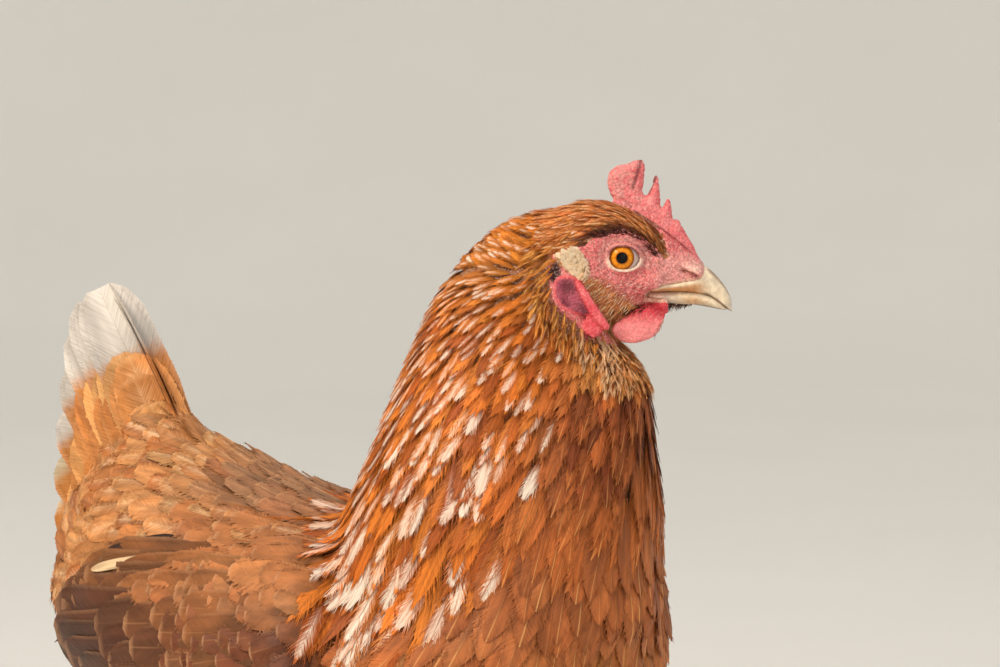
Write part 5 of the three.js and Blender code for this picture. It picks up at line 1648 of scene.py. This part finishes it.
for name, rows, node in (("bill_upper", UPPER_BILL, "beak_upper"), ("bill_lower", LOWER_BILL, "beak_lower")):
    bill_bm = bmesh.new()
    loft(bill_bm, lambda t, a: trunk_point(rows, t, a), 72, 80)
    bill = finished_mesh(bill_bm, name)
    local = vertex_array(bill.data)
    x, y, z = local.T
    _, top, bottom, half = smooth_row(rows, row_share(rows, x)).T
    height = (z - bottom) / np.maximum(top - bottom, 0.1)
    upper = name == "bill_upper"
    if upper:  # a keel along the top, and a lip that laps over the lower half
        local[:, 1] *= 1 - 0.16 * ease(0.55, 1.0, height)
        local[:, 1] += np.sign(y) * 0.35 * ease(0.28, 0.12, height) * ease(0, 0.5, np.abs(y))
    colour = np.tile(ink("f2e0c2"), (len(local), 1))
    if upper:  # amber above the gape, brown along the keel and on the cutting edge in front
        colour = wash(colour, "c67e3c", 0.9 * ease(0.62, 0.3, height) * ease(34, 27, x))
        colour = wash(colour, "94705c", 0.8 * ease(0.78, 0.94, height) * ease(31, 34, x))
        colour = wash(colour, "5e4630", 0.85 * ease(0.2, 0.09, height) * ease(30, 33, x))
        colour = wash(colour, "c3bcb2", 0.7 * ease(39.4, 41.4, x))
    else:  # pink grey at the root, amber in the middle, and a dark lower edge in front
        colour = wash(colour, "d8b8a8", 0.8 * ease(22, 16, x))
        colour = wash(colour, "c98c4a", 0.75 * bell(x - 27, 5) * ease(0.8, 0.4, height))
        colour = wash(colour, "584030", 0.85 * ease(0.24, 0.06, height) * ease(25, 30, x))
        colour = wash(colour, "7a5c40", 0.7 * ease(0.82, 0.96, height) * ease(22, 30, x))
    colour = wash(colour, "f0b8a4", 0.55 * ease(18, 11, x))
    colour = wash(colour, "b98f5c", 0.2 * (rough(local, 0.5, 3) * 0.5 + 0.5))
    set_colours(bill.data, "horn", colour)
    set_vertices(bill.data, from_head(local))
    place(bill, bill_material, "bill_horn", node)

# ---------------------------------------------------------------- legs
# Yellow scaled shanks and toes: broad overlapping plates in front and along the top of each toe, small
# rounded scales behind, pads below, and a curved horn claw on each toe.
SHANK = [
    (-25.5, 40, 98, 0, 0), (-25.5, 40, 95, 6, 5.6), (-25, 40, 88, 7.6, 6.4), (-21, 40, 76, 5.8, 5.2),
    (-15, 40, 54, 5.2, 4.9), (-9, 40, 32, 5.4, 5.1), (-4.5, 40, 17, 6.8, 6.4), (-3, 40, 8, 7.6, 7.6),
    (-3, 40, 3, 0, 0),
]
TOES = [
    # name, turn from straight ahead (degrees, outward positive), length, thickness at the root
    ("inner", -34, 42, 5), ("middle", 2, 60, 5.4), ("outer", 36, 46, 4.8), ("hind", 168, 19, 4.2),
]
CLAW_LENGTH = 13
FOOT_X, FOOT_SIDE = -3, 40  # where the toes meet
SHANK_PLATE, TOE_PLATE = 5.6, 4.4
leg_material, tree, shader = new_material(
    "leg_scale", Roughness=0.5, Specular_IOR_Level=0.4, Subsurface_Weight=0.12, Subsurface_Scale=0.0012,
    Subsurface_Radius=(1.0, 0.5, 0.2),
)
mottle = grain(tree, 260, 4.0)
shade = ramp(tree, mottle, 0.3, 0.7, 0.84, 1.1)
tree.links.new(
    blend_colour(tree, 1.0, attribute(tree, "scale").outputs["Color"], shade, "MULTIPLY"),
    shader.inputs["Base Color"],
)
bump(tree, shader, calc(tree, "ADD", mottle, times(tree, cells(tree, 900), -0.5)), 0.3)
claw_material, tree, shader = new_material("claw_horn", Roughness=0.38, Specular_IOR_Level=0.5)
streaks = grain(tree, 500, 4.0)
tree.links.new(
    blend_colour(tree, ramp(tree, streaks, 0.3, 0.7), paint("8a6a45"), paint("c9ac7c")),
    shader.inputs["Base Color"],
)
bump(tree, shader, streaks, 0.2, 0.0002)


def toe_point(side, turn, rows):
    """A toe or claw that runs out from the foot: rows of reach, height of the middle and half thickness."""
    yaw = math.radians(side * turn)
    ahead_of = np.array((math.cos(yaw), math.sin(yaw), 0))
    across_of = np.array((-math.sin(yaw), math.cos(yaw), 0))

    foot = np.array((FOOT_X, side * FOOT_SIDE, 0))

    def point(t, angle):
        reach, z, thick = smooth_row(rows, t).T
        sideways = np.cos(angle) * thick * 1.02
        return (
            foot + ahead_of * (5 + reach)[:, None] + across_of * sideways[:, None]
            + np.array((0, 0, 1)) * np.maximum(z + np.sin(angle) * thick, 0.05)[:, None]
        )
    return point


def toe_rows(length, thick):
    """Rows for a toe, a little thicker at each of its joints."""
    bulge = 1 + 0.06 * np.cos(np.linspace(0, 1, 9) * 3 * 2 * math.pi)
    rows = np.array([
        (-2, 1, 0), (0, 1, 0.9), (0.22 * length, 0.92, 1), (0.45 * length, 0.8, 0.82),
        (0.6 * length, 0.78, 0.86), (0.75 * length, 0.72, 0.74), (0.88 * length, 0.66, 0.74),
        (length, 0.62, 0.5), (length + 1, 0.62, 0),
    ])
    return rows * (1, thick, 1) * np.stack([1 + 0 * bulge, 1 + 0 * bulge, thick * bulge], -1)


def claw_rows(length, thick):
    """Rows for the claw at the end of a toe."""
    return [
        (length - 3, thick * 0.7, 0), (length - 1, thick * 0.72, 2.1),
        (length + CLAW_LENGTH * 0.4, thick * 0.72, 1.7), (length + CLAW_LENGTH * 0.75, 2.4, 1),
        (length + CLAW_LENGTH, 0.9, 0),
    ]


for name, side in SIDES:
    leg_bm = bmesh.new()
    loft(leg_bm, limb_point(SHANK, side), 48, 90)
    for _, turn, length, thick in TOES:
        loft(leg_bm, toe_point(side, turn, toe_rows(length, thick)), 32, 60)
    leg = finished_mesh(leg_bm, f"leg_{name}")
    fuse(leg, 0.65, 2)
    local, out = vertex_array(leg.data), normal_array(leg.data)
    foot = np.array((FOOT_X, side * FOOT_SIDE, 0))
    rows = np.array(SHANK)[::-1]
    centre_x = np.interp(local[:, 2], rows[:, 2], rows[:, 0])
    around = np.arctan2(side * (local[:, 1] - foot[1]), local[:, 0] - centre_x)
    row = local[:, 2] / SHANK_PLATE + 0.5 * (around > 0)
    column = np.minimum(np.abs(around), np.abs(np.abs(around) - 1.35))
    plate = np.where(np.abs(around) < 1.5, 0.55 * (1 - (row % 1)) ** 0.7 - 0.35 * ease(0.14, 0, column), 0)
    unrolled = [Vector((a * 5.5, z, 0)) / 2.9 for a, z in zip(around, local[:, 2])]
    scales = np.array([noise.voronoi(at)[0][0] for at in unrolled])
    relief = np.where(np.abs(around) < 1.5, plate, 0.4 - 0.75 * scales)
    toe_relief, best = np.zeros(len(local)), np.full(len(local), 1e9)
    for _, turn, length, thick in TOES:
        yaw = math.radians(side * turn)
        step = np.array((math.cos(yaw), math.sin(yaw), 0))
        reach = (local - foot) @ step
        sideways = np.abs((local - foot) @ np.array((-step[1], step[0], 0))) + 1e3 * (reach < 3)
        plates = 0.5 * (reach / TOE_PLATE % 1) ** 0.7 * ease(0.35, 0.8, out[:, 2])
        pads = np.where(out[:, 2] < 0.35, 0.2 * rough(local, 0.8, 7), 0)
        toe_relief = np.where(sideways < best, plates + pads, toe_relief)
        best = np.minimum(best, sideways)
    near_toe = ease(13, 8, local[:, 2]) * (best < 20)
    height = relief * (1 - near_toe) + toe_relief * near_toe
    local += out * height[:, None]
    local[:, 2] = np.maximum(local[:, 2], 0)
    colour = between("b98a35", "dcb45c", ease(-0.1, 0.45, height))
    colour = wash(colour, "c9a878", 0.5 * ease(0.1, -0.8, out[:, 2]) * near_toe)
    set_colours(leg.data, "scale", colour)
    set_vertices(leg.data, local)
    place(leg, leg_material, "leg_scale", f"shank_{name}", *(f"toe_{toe[0]}_{name}" for toe in TOES))
    claws_bm = bmesh.new()
    for _, turn, length, thick in TOES:
        loft(claws_bm, toe_point(side, turn, claw_rows(length, thick)), 28, 28)
    claws = finished_mesh(claws_bm, f"claws_{name}")
    place(claws, claw_material, "claw_horn", *(f"claw_{toe[0]}_{name}" for toe in TOES))

# ---------------------------------------------------------------- floor, light and camera
# A plain pale floor that curves up all round and a grey-white sky. Two soft square lights and the camera
# stand on the hen's right, the camera level with its head.
CAMERA_TURN = math.radians(36)
CAMERA_RISE = math.radians(5)
CAMERA_FAR = 1300.0
EYE_RIGHT, EYE_ABOVE = 45.19, 27.96  # where the eye stands from the middle of the picture
LENS = 126.36
FLOOR_REACH, FLOOR_BEND = 2.6, 1.6  # metres of level floor, and the radius of the curve at its end
EYE = np.array((91.4, 10.6, 340.0))
right = np.array((math.cos(CAMERA_TURN), math.sin(CAMERA_TURN), 0))
ahead = np.array((
    -math.sin(CAMERA_TURN) * math.cos(CAMERA_RISE),
    math.cos(CAMERA_TURN) * math.cos(CAMERA_RISE),
    -math.sin(CAMERA_RISE),
))
above = np.cross(right, ahead)
camera_at = EYE - ahead * CAMERA_FAR - right * EYE_RIGHT - above * EYE_ABOVE
camera_data = bpy.data.cameras.new("camera")
camera_data.lens = LENS
camera_data.sensor_width = 36
camera = bpy.data.objects.new("camera", camera_data)
camera.location = (camera_at + SHIFT) * MM
camera.rotation_euler = Matrix(np.array((right, above, -ahead)).T.tolist()).to_euler()
bpy.context.scene.collection.objects.link(camera)
bpy.context.scene.camera = camera

floor_bm = bmesh.new()
floor_run = [(0.0, 0.0)] + [(r, 0.0) for r in np.linspace(0.3, FLOOR_REACH, 6)]
for a in np.radians(np.linspace(6, 84, 14)):
    floor_run.append((FLOOR_REACH + FLOOR_BEND * math.sin(a), FLOOR_BEND - FLOOR_BEND * math.cos(a)))
floor_run += [(4.22, z) for z in (1.8, 2.6, 3.6, 4.8)]
line = [floor_bm.verts.new((reach, 0, rise)) for reach, rise in floor_run]
line = line + [floor_bm.edges.new(pair) for pair in zip(line, line[1:])]
bmesh.ops.spin(
    floor_bm, geom=line, cent=(0, 0, 0), axis=(0, 0, 1), dvec=(0, 0, 0), angle=2 * math.pi, steps=96,
)
bmesh.ops.remove_doubles(floor_bm, verts=floor_bm.verts, dist=1e-4)
floor = finished_mesh(floor_bm, "floor")
floor.data.shade_smooth()
floor_material, tree, shader = new_material("pale_floor", Roughness=0.9, Specular_IOR_Level=0.2)
dust = grain(tree, 3)
tree.links.new(
    blend_colour(tree, dust, paint("e4e1da"), paint("ebe8e2")), shader.inputs["Base Color"],
)
floor.data.materials.append(floor_material)

world = bpy.data.worlds.new("studio")
bpy.context.scene.world = world
world.use_nodes = True
world.node_tree.nodes["Background"].inputs[0].default_value = paint("e6e7e8")
world.node_tree.nodes["Background"].inputs[1].default_value = 1.15


def panel(name, at, size, power, colour):
    """A soft square light that faces the hen's neck."""
    data = bpy.data.lights.new(name, "AREA")
    data.size = size
    data.energy = power
    data.color = ink(colour)
    lamp = bpy.data.objects.new(name, data)
    lamp.location = at
    lamp.rotation_euler = (Vector((0.05, 0, 0.25)) - Vector(at)).to_track_quat("-Z", "Y").to_euler()
    bpy.context.scene.collection.objects.link(lamp)


panel("key", (-0.25, -1.41, 1.6), 0.6, 29, "fff0de")
panel("fill", (1.6, -1.2, 0.8), 1.6, 9, "f8f6fa")
bpy.context.scene.view_settings.view_transform = "Standard"
